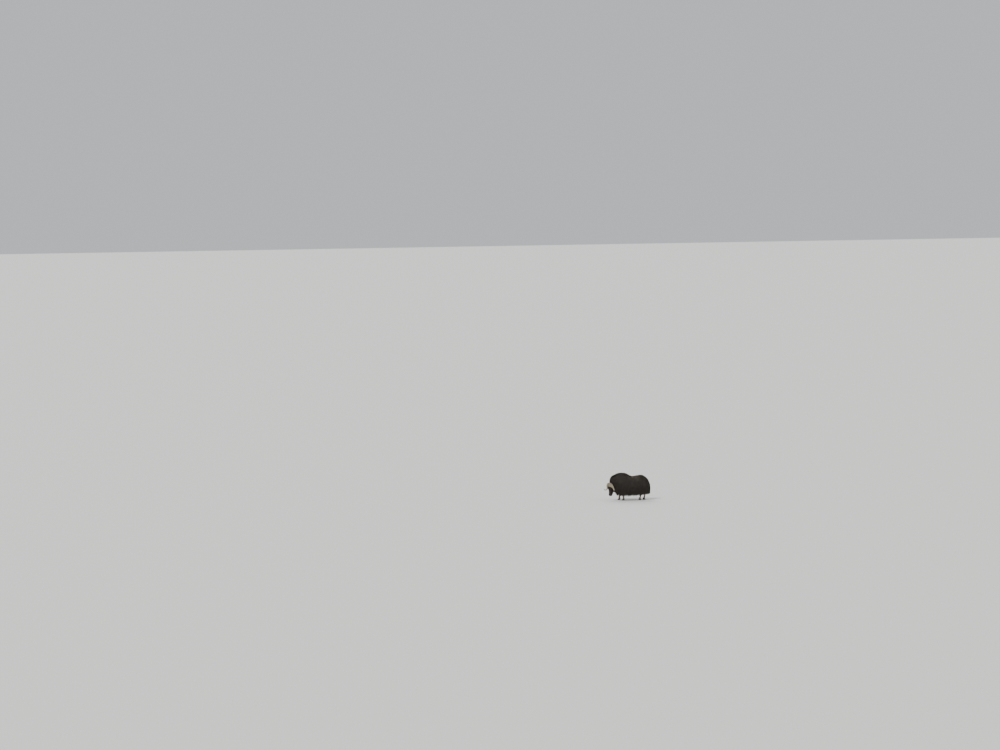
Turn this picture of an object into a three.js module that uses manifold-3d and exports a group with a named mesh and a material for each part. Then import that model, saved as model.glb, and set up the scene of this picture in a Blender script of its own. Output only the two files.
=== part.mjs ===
// A muskox bull in its long summer coat, life size, grazing with its head low and turned to its left.
// Millimetres, +Z up. The bull faces -X, its left side is towards -Y and its feet stand on z = 0.
import * as THREE from "three";
import { ParametricGeometry } from "three/addons/geometries/ParametricGeometry.js";
import { mergeVertices } from "three/addons/utils/BufferGeometryUtils.js";
import Module from "manifold-3d";

const wasm = await Module();
wasm.setup();
const { Manifold, Mesh: SolidMesh } = wasm;

const { degToRad, clamp, lerp, smoothstep, seededRandom } = THREE.MathUtils;
const V = (x, y, z) => new THREE.Vector3(x, y, z);

// Seven stations from the rump to the front of the neck, evenly spread along the body.
// ridge and top: where the coat's top line runs; out: how far the coat reaches along X;
// lean: sideways shift; half: half width of the coat; mid: height of the widest line;
// fringe: height of the hanging tips; belly: height of the flesh below; depth: depth of the coat.
const STATIONS = [
  { ridge: 560, top: 1190, out: 1062, lean: 0, half: 330, mid: 560, fringe: 330, belly: 560, depth: 64 },
  { ridge: 365, top: 1160, out: 740, lean: 0, half: 385, mid: 560, fringe: 275, belly: 515, depth: 64 },
  { ridge: 170, top: 1130, out: 415, lean: 0, half: 405, mid: 570, fringe: 250, belly: 495, depth: 64 },
  { ridge: -30, top: 1236, out: 93, lean: 0, half: 412, mid: 580, fringe: 240, belly: 490, depth: 80 },
  { ridge: -225, top: 1298, out: -229, lean: 0, half: 400, mid: 590, fringe: 245, belly: 500, depth: 88 },
  { ridge: -425, top: 1288, out: -552, lean: -20, half: 325, mid: 640, fringe: 300, belly: 560, depth: 88 },
  { ridge: -610, top: 1216, out: -868, lean: -80, half: 215, mid: 880, fringe: 850, belly: 720, depth: 80 },
];
const PLAN_POWER = 0.5; // how square the outline is from above, 1 being an ellipse
const HEM_TUCK = 0.94; // how far in the hanging tips are, as a share of the half width
const HEM_PULL = 0.97; // the same along X
const BACK_STEPS = 14;
const HANG_STEPS = 4;
const INSET_REACH = 250; // where the coat reaches less far than this along X, its inset there shrinks

const GAP = 0.3; // between nodes that touch
const NECK_END = -490; // the upright cuts between the parts of the body, along X
const SHOULDER_END = -25;
const BARREL_END = 445;
const LEG_TOP = 470; // the level cuts of the legs
const TOE_TOP = 62;
const BIG = 4000; // beyond the bull on every side

const HEAD_AT = V(-815, -215, 790); // the poll, between the horns
const HEAD_TURN = degToRad(48); // to the bull's left
const NOSE_LIFT = degToRad(3); // the nose a little ahead of the poll
const NECK_TURN = degToRad(20); // of the neck, to the bull's left
const WEDGE_BACK = 640; // the cut between neck and head: an upright plane and a sloping one
const NAPE_SLOPE = degToRad(60);
const NAPE_AT = V(-700, -100, 772);

const COAT = new THREE.MeshStandardMaterial({ color: 0x2f261e, roughness: 0.9, metalness: 0 });
const FACE = new THREE.MeshStandardMaterial({ color: 0x32261f, roughness: 0.85, metalness: 0 });
const HORN = new THREE.MeshStandardMaterial({ color: 0xb0a488, roughness: 0.55, metalness: 0 });
const EYE = new THREE.MeshStandardMaterial({ color: 0x140e0a, roughness: 0.1, metalness: 0 });
const STOCKING = new THREE.MeshStandardMaterial({ color: 0x8c7d68, roughness: 0.85, metalness: 0 });
const HOOF = new THREE.MeshStandardMaterial({ color: 0x24211f, roughness: 0.5, metalness: 0 });

// Solids

function solid(geometry) {
  const bare = new THREE.BufferGeometry();
  const flat = geometry.index ? geometry.toNonIndexed() : geometry;
  bare.setAttribute("position", flat.getAttribute("position"));
  const merged = mergeVertices(bare, 1e-3);
  const corners = merged.index.array;
  const triangles = [];
  for (let i = 0; i < corners.length; i += 3) {
    const [a, b, c] = corners.subarray(i, i + 3);
    if (a !== b && b !== c && c !== a) triangles.push(a, b, c);
  }
  const make = (order) =>
    new Manifold(
      new SolidMesh({
        numProp: 3,
        vertProperties: merged.attributes.position.array,
        triVerts: new Uint32Array(order),
      }),
    );
  const made = make(triangles);
  return made.volume() > 0 ? made : make(triangles.reverse());
}

function geometryOf(shape) {
  const mesh = shape.getMesh();
  return new THREE.BufferGeometry()
    .setAttribute("position", new THREE.BufferAttribute(mesh.vertProperties, 3))
    .setIndex(new THREE.BufferAttribute(mesh.triVerts, 1));
}

// A closed surface whose rings draw to a point at both ends of the run.
const loft = (place, around, along) => solid(new ParametricGeometry(place, around, along));

function ball(centre, radii, rotation = [0, 0, 0], around = 12, along = 8) {
  const shape = new THREE.SphereGeometry(1, around, along);
  shape.scale(...radii);
  shape.applyMatrix4(new THREE.Matrix4().makeRotationFromEuler(new THREE.Euler(...rotation)));
  shape.translate(...centre);
  return solid(shape);
}

function block(low, high) {
  const size = high.map((value, i) => value - low[i]);
  const middle = high.map((value, i) => (value + low[i]) / 2);
  return solid(new THREE.BoxGeometry(...size).translate(...middle));
}

// All of space that lies beyond a point in one direction.
function beyond(point, direction) {
  const shape = new THREE.BoxGeometry(BIG, BIG, BIG).translate(0, 0, BIG / 2);
  const turn = new THREE.Quaternion().setFromUnitVectors(V(0, 0, 1), direction.clone().normalize());
  return solid(shape.applyQuaternion(turn).translate(...point));
}

function largest(shape) {
  const pieces = shape.decompose();
  return pieces.reduce((best, piece) => (piece.volume() > best.volume() ? piece : best));
}

// The body's drape: the outside of the coat, from the top line down to the hanging tips

const bodyCurves = Object.fromEntries(
  Object.keys(STATIONS[0]).map((key) => [
    key,
    new THREE.SplineCurve(STATIONS.map((station, i) => new THREE.Vector2(i, station[key]))),
  ]),
);

// A turn of 0 is the rump, 0.25 the left side, 0.5 the front of the neck and 0.75 the right side.
function meridian(turn) {
  const folded = turn > 0.5 ? 1 - turn : turn;
  const side = turn > 0.5 ? 1 : -1;
  const angle = 2 * Math.PI * folded;
  const share = (1 - Math.cos(angle)) / 2;
  const at = {};
  for (const key in bodyCurves) at[key] = bodyCurves[key].getPoint(share).y;
  at.rim = side * Math.pow(Math.max(Math.sin(angle), 0), PLAN_POWER);
  return at;
}

// A point of the quarter ellipse from the top line (angle 0) to the widest line (a right angle).
function overBack(at, angle, inset = 0) {
  const pull = inset * Math.min(Math.abs(at.out - at.ridge) / INSET_REACH, 1);
  const outX = at.out + (at.out > at.ridge ? -pull : pull);
  const outY = at.lean + at.rim * (at.half - inset);
  const reach = Math.sin(angle);
  const height = at.mid + (at.top - inset - at.mid) * Math.cos(angle);
  return V(lerp(at.ridge, outX, reach), lerp(at.lean, outY, reach), height);
}

// A point between the widest line (share 0) and the hanging tips (share 1).
function hanging(at, share) {
  const hemY = at.lean + at.rim * at.half * lerp(1, HEM_TUCK, share);
  const hemX = at.ridge + (at.out - at.ridge) * lerp(1, HEM_PULL, share);
  return V(hemX, hemY, lerp(at.mid, at.fringe, share));
}

// The line from the top line to the tips at one turn, with the length of the way to each of its points.
function drape(turn) {
  const at = meridian(((turn % 1) + 1) % 1);
  const points = [];
  for (let i = 0; i <= BACK_STEPS; i++) points.push(overBack(at, (i / BACK_STEPS) * (Math.PI / 2)));
  for (let i = 1; i <= HANG_STEPS; i++) points.push(hanging(at, i / HANG_STEPS));
  const lengths = [0];
  for (let i = 1; i < points.length; i++) {
    lengths.push(lengths[i - 1] + points[i].distanceTo(points[i - 1]));
  }
  return { points, lengths, length: lengths.at(-1) };
}

// The point at a share of such a line's length.
function along(line, run) {
  const wanted = clamp(run, 0, 1) * line.length;
  let i = 1;
  while (i < line.lengths.length - 1 && line.lengths[i] < wanted) i++;
  const share = (wanted - line.lengths[i - 1]) / Math.max(line.lengths[i] - line.lengths[i - 1], 1e-6);
  return line.points[i - 1].clone().lerp(line.points[i], clamp(share, 0, 1));
}

const TURN_STEP = 0.004;
const acrossAt = (turn, run) =>
  along(drape(turn + TURN_STEP), run).sub(along(drape(turn - TURN_STEP), run));

function outwardAt(turn, run) {
  const at = clamp(run, 0.06, 0.98);
  const down = along(drape(turn), at + 0.02).sub(along(drape(turn), at - 0.02));
  return acrossAt(turn, at).cross(down).normalize();
}

// The flesh and matted under-wool, whose skin lies half way into the coat

const CORE_AROUND = 26;
const CORE_STEPS = 9;
const CORE_SIDE_STEPS = 5; // down the back and side, the others being under the belly
function core() {
  return loft(
    (turn, run, target) => {
      const at = meridian(turn % 1);
      const step = Math.round(run * CORE_STEPS);
      if (step <= CORE_SIDE_STEPS) {
        const side = (step / CORE_SIDE_STEPS) * (Math.PI / 2);
        target.copy(overBack(at, side, at.depth / 2));
      } else {
        const under = ((step - CORE_SIDE_STEPS) / (CORE_STEPS - CORE_SIDE_STEPS)) * (Math.PI / 2);
        const floor = Math.min(at.belly, at.mid - 20);
        const rim = overBack(at, Math.PI / 2, at.depth / 2);
        target.set(at.ridge, at.lean, at.mid).lerp(rim, Math.cos(under));
        target.setZ(lerp(at.mid, floor, Math.sin(under)));
      }
    },
    CORE_AROUND,
    CORE_STEPS,
  );
}

// Locks of the long coat

seededRandom(7);
const vary = (amount) => (seededRandom() - 0.5) * 2 * amount;

const LOCK_STEPS = 4;
const LOCK_SHAPE = [0, 0.92, 1, 0.76, 0];

// A flat lock with a point at each end and a ridge down its outer side.
function lock(points, outward, width, thick) {
  const path = new THREE.CatmullRomCurve3(points);
  return loft(
    (turn, run, target) => {
      const step = Math.round(run * LOCK_STEPS);
      const corner = Math.round(turn * 3) % 3;
      const ahead = path.getTangent(run);
      const across = ahead.clone().cross(outward).normalize();
      const out = across.clone().cross(ahead);
      target.copy(path.getPoint(run));
      if (corner === 0) target.addScaledVector(across, (width / 2) * LOCK_SHAPE[step]);
      if (corner === 1) target.addScaledVector(across, (-width / 2) * LOCK_SHAPE[step]);
      if (corner === 2) target.addScaledVector(out, thick * LOCK_SHAPE[step]);
    },
    3,
    LOCK_STEPS,
  );
}

// Turns round the body that lie evenly apart at one share of the drape.
function spread(run, spacing, stagger) {
  const samples = 240;
  const at = (i) => along(drape(i / samples), run);
  const lengths = [0];
  for (let i = 1; i <= samples; i++) lengths.push(lengths[i - 1] + at(i).distanceTo(at(i - 1)));
  const count = Math.round(lengths[samples] / spacing);
  const turns = [];
  for (let k = 0; k < count; k++) {
    const wanted = ((k + stagger + vary(0.16)) / count) * lengths[samples];
    const i = clamp(lengths.findIndex((length) => length >= wanted), 1, samples);
    const step = Math.max(lengths[i] - lengths[i - 1], 1e-6);
    turns.push((i - 1 + (wanted - lengths[i - 1]) / step) / samples);
  }
  return turns;
}

// Rows of locks down the drape: where each row starts, its length, its spacing and its slant to the rear.
const ROWS = [
  { start: 0.05, length: 0.31, spacing: 138, slant: 46 },
  { start: 0.22, length: 0.34, spacing: 136, slant: 40 },
  { start: 0.42, length: 0.4, spacing: 126, slant: 30 },
  { start: 0.6, length: 0.395, spacing: 114, slant: 14 },
];
const LOCK_THICK = 20;
const ROOT_SUNK = 20; // how far a lock's root lies below the skin
const TIP_SUNK = 5; // and its tip below the outside of the coat

function coatLock(turn, row) {
  const length = Math.min(row.length * (1 + vary(0.08)), 0.995 - row.start);
  const slant = row.slant * (1 + vary(0.5));
  const { depth } = meridian((turn + 1) % 1);
  const points = [0, 0.25, 0.5, 0.75, 1].map((share) => {
    const run = row.start + length * share;
    const across = acrossAt(turn, run).normalize();
    const lift = lerp(-depth / 2 - ROOT_SUNK, -TIP_SUNK, Math.pow(share, 0.7));
    return along(drape(turn), run)
      .addScaledVector(outwardAt(turn, run), lift)
      .addScaledVector(across, slant * across.x * Math.pow(share, 1.4));
  });
  const middle = outwardAt(turn, row.start + length / 2);
  return lock(points, middle, row.spacing * (1.02 + vary(0.1)), LOCK_THICK);
}

// Locks along the top line, which lie back towards the tail: the share of the body at the root.
const CREST = [0.93, 0.83, 0.73, 0.63, 0.53, 0.43, 0.33, 0.23, 0.13];
const CREST_LOCK = { length: 0.19, width: 170, thick: 26 };
function crestLock(share) {
  const points = [0, 0.35, 0.7, 1].map((k) => {
    const place = clamp(share - CREST_LOCK.length * k, 0, 1);
    const value = (key) => bodyCurves[key].getPoint(place).y;
    const lift = lerp(-0.75, -0.18, Math.sqrt(k)) * value("depth");
    return V(value("ridge"), value("lean") + vary(10), value("top") + lift);
  });
  return lock(points, V(0, 0, 1), CREST_LOCK.width, CREST_LOCK.thick);
}

function coatLocks() {
  const rows = ROWS.flatMap((row, i) => {
    const turns = spread(row.start, row.spacing, i * 0.5);
    return turns.map((turn) => coatLock(turn, row));
  });
  return [...CREST.map(crestLock), ...rows];
}

// Head, in its own frame: the face looks to -X, the nose points down and the poll is the origin

// z down from the poll; front and back: reach to either side of the middle; half: half width.
const HEAD_STATIONS = [
  { z: 34, front: 30, back: 30, half: 40 },
  { z: 10, front: 84, back: 92, half: 92 },
  { z: -60, front: 104, back: 132, half: 106 },
  { z: -130, front: 110, back: 158, half: 110 },
  { z: -200, front: 106, back: 166, half: 106 },
  { z: -270, front: 94, back: 158, half: 94 },
  { z: -340, front: 80, back: 132, half: 80 },
  { z: -410, front: 69, back: 104, half: 70 },
  { z: -475, front: 62, back: 84, half: 68 },
  { z: -530, front: 52, back: 66, half: 66 },
  { z: -562, front: 26, back: 34, half: 40 },
];
const HEAD_SQUARE = 0.82;
const headCurves = Object.fromEntries(
  Object.keys(HEAD_STATIONS[0]).map((key) => [
    key,
    new THREE.SplineCurve(HEAD_STATIONS.map((station, i) => new THREE.Vector2(i, station[key]))),
  ]),
);
const power = (value, exponent) => Math.sign(value) * Math.pow(Math.abs(value), exponent);

function headPoint(turn, run, grow = 0) {
  const share = clamp(run, 0, 1);
  const end = share === 0 || share === 1 ? 0 : 1;
  const at = {};
  for (const key in headCurves) at[key] = headCurves[key].getPoint(share).y;
  const angle = 2 * Math.PI * (turn % 1);
  const reach = Math.cos(angle) > 0 ? at.back : at.front;
  return V(
    end * power(Math.cos(angle), HEAD_SQUARE) * (reach + grow),
    end * power(Math.sin(angle), HEAD_SQUARE) * (at.half + grow),
    at.z + (share < 0.5 ? grow : -grow),
  );
}
const headForm = (grow) => loft((turn, run, target) => target.copy(headPoint(turn, run, grow)), 20, 16);

const EYE_AT = V(-50, 92, -200);
const EYE_FACING = V(-0.42, 0.9, 0.05).normalize();
const EYE_RADIUS = 20;
const ORBIT = [50, 46, 68]; // half sizes of the brow and socket round the eye
const ORBIT_TURN = 0.43; // how far they are turned to the front

const sided = (point, side) => V(point.x, side * point.y, point.z);

function eyeball(side, grow = 0) {
  return ball(sided(EYE_AT, side), [EYE_RADIUS + grow, EYE_RADIUS + grow, EYE_RADIUS + grow]);
}

function orbit(side, grow = 0) {
  const centre = sided(EYE_AT.clone().addScaledVector(EYE_FACING, EYE_RADIUS + 3 - ORBIT[1]), side);
  return ball(centre, ORBIT.map((radius) => radius + grow), [0, 0, side * ORBIT_TURN]);
}

function lidOpening(side) {
  const centre = sided(EYE_AT.clone().addScaledVector(EYE_FACING, EYE_RADIUS), side);
  return ball(centre, [11, 26, 19], [0.12, 0, side * ORBIT_TURN]);
}

function headSkin(grow) {
  const muzzle = ball([-10, 0, -512], [54 + grow, 72 + grow, 50 + grow]);
  const chin = ball([40, 0, -508], [38 + grow, 46 + grow, 44 + grow]);
  return Manifold.union([headForm(grow), orbit(1, grow), orbit(-1, grow), muzzle, chin]);
}

// The right horn: the middle line from the boss to the tip, and its half thickness and half width there.
const HORN_LINE = [
  [-88, -40, -40],
  [-104, 22, -40],
  [-110, 74, -50],
  [-86, 132, -84],
  [-34, 166, -146],
  [-4, 188, -214],
  [-12, 222, -272],
  [-40, 272, -298],
  [-70, 316, -276],
  [-84, 336, -222],
];
const HORN_THICK = [28, 34, 38, 36, 31, 27, 24, 19, 12, 1];
const HORN_WIDE = [88, 94, 94, 76, 50, 35, 27, 20, 12, 1];
const BOSS_PARTING = 5; // half of the gap between the two horns
const hornLine = new THREE.CatmullRomCurve3(HORN_LINE.map((point) => V(...point)));
const hornSize = new THREE.SplineCurve(
  HORN_THICK.map((thick, i) => new THREE.Vector2(thick, HORN_WIDE[i])),
);

function horn(side, grow = 0) {
  const whole = loft(
    (turn, run, target) => {
      const middle = hornLine.getPoint(run);
      const ahead = hornLine.getTangent(run);
      const away = V(middle.x * lerp(1, 0.4, smoothstep(run, 0.25, 0.55)), middle.y, 0).normalize();
      const across = ahead.clone().cross(away).normalize();
      const out = across.clone().cross(ahead).normalize();
      const size = hornSize.getPoint(run);
      const full = run === 0 || run === 1 ? 0 : 1;
      const angle = 2 * Math.PI * (turn % 1);
      middle.addScaledVector(out, full * (size.x + grow) * Math.cos(angle));
      middle.addScaledVector(across, full * (size.y + grow) * Math.sin(angle));
      target.copy(sided(middle, side));
    },
    10,
    16,
  );
  return whole.intersect(beyond(V(0, side * (BOSS_PARTING - grow), 0), V(0, side, 0)));
}

const EAR_AT = V(44, 142, -96);
const earTurn = (side) => [side * 0.3, 0, side * -0.25];
function earShell(side, grow = 0) {
  return ball(sided(EAR_AT, side), [17 + grow, 62 + grow, 34 + grow], earTurn(side));
}

function ear(side) {
  const cup = ball(sided(EAR_AT.clone().add(V(-16, 18, -2)), side), [17, 46, 25], earTurn(side));
  return largest(earShell(side).subtract(cup).subtract(headSkin(GAP)));
}

// Cheek and jaw hair: the turn round the head from its back, how far down, the length and the width.
const CHEEK_LOCKS = [
  [0.15, 0.24, 150, 74],
  [0.165, 0.36, 140, 70],
  [0.15, 0.48, 130, 66],
  [0.1, 0.28, 165, 74],
  [0.1, 0.42, 160, 72],
  [0.09, 0.56, 135, 62],
  [0.03, 0.36, 190, 76],
  [0.03, 0.54, 165, 66],
];
function cheekLock([turn, run, length, width], side) {
  const at = side > 0 ? turn : 1 - turn;
  const root = headPoint(at, run);
  const out = V(root.x, root.y, 0).normalize();
  const points = [0, 0.35, 0.7, 1].map((share) =>
    root
      .clone()
      .addScaledVector(out, lerp(-12, 16, share))
      .add(V(14 * share * share, 0, -length * share)),
  );
  return lock(points, out, width, 17);
}

function headSolid() {
  const mouth = block([18, -120, -600], [25, 120, -432]).subtract(headSkin(-8));
  const cuts = [mouth];
  for (const side of [1, -1]) {
    cuts.push(lidOpening(side), eyeball(side, GAP));
    const nostril = ball([-54, side * 30, -514], [16, 10, 15], [0, 0.4, side * 0.7], 10, 8);
    cuts.push(nostril);
  }
  const hair = [1, -1].flatMap((side) => CHEEK_LOCKS.map((place) => cheekLock(place, side)));
  return headSkin(0).subtract(Manifold.union(cuts)).add(Manifold.union(hair));
}

// Legs and hooves

// z; lean: shift along X from the foot; long and wide: half sizes of the leg there.
const FORELEG = [
  { z: 760, lean: 30, long: 60, wide: 40 },
  { z: 640, lean: 30, long: 100, wide: 66 },
  { z: 540, lean: 22, long: 84, wide: 62 },
  { z: 440, lean: 4, long: 62, wide: 52 },
  { z: 330, lean: -4, long: 52, wide: 48 },
  { z: 240, lean: 0, long: 37, wide: 35 },
  { z: 150, lean: 2, long: 38, wide: 37 },
  { z: 105, lean: 0, long: 47, wide: 46 },
  { z: 62, lean: -4, long: 50, wide: 54 },
  { z: 20, lean: -4, long: 40, wide: 40 },
];
const HINDLEG = [
  { z: 800, lean: -20, long: 80, wide: 50 },
  { z: 660, lean: -30, long: 130, wide: 74 },
  { z: 540, lean: -6, long: 96, wide: 64 },
  { z: 430, lean: 40, long: 62, wide: 46 },
  { z: 350, lean: 62, long: 54, wide: 42 },
  { z: 260, lean: 48, long: 40, wide: 36 },
  { z: 160, lean: 22, long: 37, wide: 36 },
  { z: 105, lean: 6, long: 46, wide: 45 },
  { z: 62, lean: -4, long: 50, wide: 54 },
  { z: 20, lean: -4, long: 40, wide: 40 },
];
const LEGS = {
  leg_front_left: { x: -215, y: -160, line: FORELEG },
  leg_front_right: { x: -400, y: 150, line: FORELEG },
  leg_hind_left: { x: 545, y: -165, line: HINDLEG },
  leg_hind_right: { x: 760, y: 148, line: HINDLEG },
};

function legForm({ x, y, line }) {
  const size = new THREE.SplineCurve(line.map((at) => new THREE.Vector2(at.long, at.wide)));
  const path = new THREE.SplineCurve(line.map((at) => new THREE.Vector2(at.lean, at.z)));
  return loft(
    (turn, run, target) => {
      const middle = path.getPoint(run);
      const half = size.getPoint(run);
      const full = run === 0 || run === 1 ? 0 : 1;
      const angle = 2 * Math.PI * (turn % 1);
      target.set(
        x + middle.x + full * half.x * Math.cos(angle),
        y + full * half.y * Math.sin(angle),
        middle.y,
      );
    },
    10,
    14,
  );
}

function leg(place) {
  const dewclaws = [-1, 1].map((side) =>
    ball([place.x + 50, place.y + side * 24, 84], [16, 13, 20], [0, -0.4, 0], 6, 5),
  );
  const whole = Manifold.union([legForm(place), ...dewclaws]);
  return whole.intersect(block([-BIG, -BIG, TOE_TOP + GAP], [BIG, BIG, LEG_TOP - GAP]));
}

// Half sizes at the sole, half the distance between the toes, and how far back the front slopes.
const TOE = { long: 70, wide: 29, apart: 31.5, slope: 22, forward: -12 };
function toe({ x, y }, side) {
  const form = loft(
    (turn, run, target) => {
      const height = [-30, 0, TOE_TOP * 0.6, TOE_TOP, TOE_TOP + 30][Math.round(run * 4)];
      const full = run === 0 || run === 1 ? 0 : 1;
      const rise = clamp(height / TOE_TOP, 0, 1);
      const long = full * (TOE.long - rise * TOE.slope);
      const wide = full * (TOE.wide - rise * 3);
      const angle = 2 * Math.PI * (turn % 1);
      target.set(
        x + TOE.forward + rise * TOE.slope * 0.6 + long * power(Math.cos(angle), 0.8),
        y + side * (TOE.apart - rise * 3) + wide * power(Math.sin(angle), 0.8),
        height,
      );
    },
    14,
    4,
  );
  return form.intersect(block([-BIG, -BIG, 0], [BIG, BIG, TOE_TOP]));
}

// Tail, a short bundle of locks at the back of the rump: each one's sideways place and its run on the drape

const TAIL_LOCKS = [
  [0, 0.16, 0.47],
  [-34, 0.2, 0.44],
  [36, 0.2, 0.42],
];
function tail(grow = 0) {
  const locks = TAIL_LOCKS.map(([aside, from, to]) => {
    const points = [0, 0.3, 0.65, 1].map((share) => {
      const run = lerp(from, to, share);
      const lift = lerp(-6, 8, share) - 2 * grow;
      return along(drape(0), run)
        .addScaledVector(outwardAt(0, run), lift)
        .add(V(0, aside * (0.35 + share * 0.65), 0));
    });
    points[3].add(points[3].clone().sub(points[2]).setLength(6 * grow));
    points[0].add(points[0].clone().sub(points[1]).setLength(6 * grow));
    return lock(points, outwardAt(0, (from + to) / 2), 64 + 8 * grow, 30 + 6 * grow);
  });
  return Manifold.union(locks);
}

// The neck inside the mane, from between the shoulders to the back of the head

const NECK_STATIONS = [
  { at: [-400, 0, 960], tall: 150, wide: 120 },
  { at: [-510, -25, 880], tall: 240, wide: 165 },
  { at: [-610, -75, 805], tall: 260, wide: 150 },
  { at: [-700, -125, 720], tall: 205, wide: 110 },
  { at: [-770, -175, 650], tall: 130, wide: 75 },
  { at: [-800, -200, 615], tall: 70, wide: 40 },
];
const neckLine = new THREE.CatmullRomCurve3(NECK_STATIONS.map((station) => V(...station.at)));
const neckSize = new THREE.SplineCurve(
  NECK_STATIONS.map(({ tall, wide }) => new THREE.Vector2(tall, wide)),
);

// A round of 0 is the top of the neck, 0.25 its right side and 0.5 the throat.
function neckPoint(run, round) {
  const half = neckSize.getPoint(run);
  const full = run === 0 || run === 1 ? 0 : 1;
  const angle = 2 * Math.PI * (round % 1);
  const across = V(-Math.sin(NECK_TURN), Math.cos(NECK_TURN), 0);
  const point = neckLine.getPoint(run).addScaledVector(across, full * half.y * Math.sin(angle));
  return point.add(V(0, 0, full * half.x * Math.cos(angle)));
}
const neckForm = () => loft((turn, run, target) => target.copy(neckPoint(run, turn)), 14, 9);

// Locks that hang from the neck and throat: the run along the neck, the round, the length and the width.
const NECK_LOCKS = [
  [0.32, 0.27, 350, 118],
  [0.45, 0.25, 350, 118],
  [0.58, 0.24, 330, 114],
  [0.71, 0.24, 300, 104],
  [0.83, 0.26, 240, 92],
  [0.36, 0.4, 250, 112],
  [0.54, 0.42, 215, 108],
  [0.7, 0.42, 200, 100],
  [0.42, 0.58, 215, 110],
  [0.6, 0.6, 200, 104],
  [0.74, 0.64, 190, 92],
];
function neckLock([run, round, length, width]) {
  const root = neckPoint(run, round);
  const out = root.clone().sub(neckLine.getPoint(run)).setZ(0).add(V(-40, -20, 0)).normalize();
  const points = [0, 0.3, 0.65, 1].map((share) =>
    root
      .clone()
      .addScaledVector(out, lerp(-16, 16, share))
      .add(V(20 * share * share, 0, -length * share)),
  );
  return lock(points, out, width, 20);
}

// The whole

// The space that the head takes, beyond both planes of the cut.
function headWedge(margin) {
  const ahead = V(-Math.cos(NECK_TURN), -Math.sin(NECK_TURN), 0);
  const down = ahead.clone().multiplyScalar(Math.cos(NAPE_SLOPE)).add(V(0, 0, -Math.sin(NAPE_SLOPE)));
  const upright = beyond(ahead.clone().multiplyScalar(WEDGE_BACK - margin), ahead);
  return upright.intersect(beyond(NAPE_AT.clone().addScaledVector(down, -margin), down));
}

const bull = new THREE.Group();

function add(parent, name, shape, material) {
  const mesh = new THREE.Mesh(geometryOf(shape), material);
  mesh.name = name;
  parent.add(mesh);
}

const head = new THREE.Group();
head.position.copy(HEAD_AT);
head.rotation.set(0, NOSE_LIFT, HEAD_TURN, "ZYX");
head.updateMatrix();
bull.add(head);
const intoHead = head.matrix.clone().invert().elements;

const stumps = Object.values(LEGS).map((place) =>
  legForm(place).intersect(block([-BIG, -BIG, LEG_TOP], [BIG, BIG, BIG])),
);
const bodyForms = [core(), neckForm(), ...coatLocks(), ...NECK_LOCKS.map(neckLock), ...stumps];
const body = Manifold.union(bodyForms).subtract(tail(GAP));
const slab = (from, to) => block([from, -BIG, -BIG], [to, BIG, BIG]);
add(bull, "neck", largest(body.intersect(slab(-BIG, NECK_END)).subtract(headWedge(GAP / 2))), COAT);
add(bull, "shoulders", largest(body.intersect(slab(NECK_END + GAP, SHOULDER_END))), COAT);
add(bull, "barrel", largest(body.intersect(slab(SHOULDER_END + GAP, BARREL_END))), COAT);
add(bull, "rump", largest(body.intersect(slab(BARREL_END + GAP, BIG))), COAT);
add(bull, "tail", tail(), COAT);

const kept = [horn(1, GAP), horn(-1, GAP), earShell(1, GAP), earShell(-1, GAP), headForm(-20)];
const mane = body.intersect(headWedge(-GAP / 2)).transform(intoHead);
const face = headSolid().add(mane.subtract(Manifold.union(kept)));
add(head, "head", largest(face.intersect(headWedge(-GAP / 2).transform(intoHead))), FACE);
for (const [name, side] of [["left", -1], ["right", 1]]) {
  add(head, `eye_${name}`, eyeball(side), EYE);
  add(head, `horn_${name}`, largest(horn(side).subtract(headSkin(GAP))), HORN);
  add(head, `ear_${name}`, ear(side).subtract(horn(side, GAP)), FACE);
}

for (const [name, place] of Object.entries(LEGS)) {
  add(bull, name, leg(place), STOCKING);
  const foot = name.replace("leg", "toe");
  add(bull, `${foot}_a`, toe(place, -1), HOOF);
  add(bull, `${foot}_b`, toe(place, 1), HOOF);
}

// The middle of the whole thing's footprint is brought to the origin.
const box = new THREE.Box3().setFromObject(bull, true);
bull.position.set(-(box.min.x + box.max.x) / 2, -(box.min.y + box.max.y) / 2, 0);

export default bull;
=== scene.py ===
"""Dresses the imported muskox: one skin, a long combed coat, horns, eyes and hooves, on a pale floor.

Every surface is worked out with numpy from the same stations as the solids, in metres, in the bull's own
frame: it faces -X, its left side is towards -Y and z = 0 is the floor.
"""

import math
from types import SimpleNamespace

import bpy
import numpy as np
from bpy.props import FloatProperty, FloatVectorProperty, IntProperty, PointerProperty
from mathutils import Matrix, Vector


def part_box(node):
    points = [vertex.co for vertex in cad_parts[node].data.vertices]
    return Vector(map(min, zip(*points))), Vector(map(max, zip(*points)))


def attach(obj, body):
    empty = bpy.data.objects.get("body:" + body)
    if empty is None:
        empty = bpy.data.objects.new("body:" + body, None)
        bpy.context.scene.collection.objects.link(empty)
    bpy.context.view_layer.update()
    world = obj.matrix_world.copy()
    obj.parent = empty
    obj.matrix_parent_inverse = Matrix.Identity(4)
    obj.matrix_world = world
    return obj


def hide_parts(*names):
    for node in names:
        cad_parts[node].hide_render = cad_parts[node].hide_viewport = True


bl_info = {
    "name": "Muskox",
    "version": (1, 0, 0),
    "blender": (4, 5, 0),
    "location": "View3D > Sidebar > Muskox",
    "description": "Skin, coat, horns, eyes, hooves and stage of a life-size muskox bull",
    "category": "Object",
}

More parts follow.
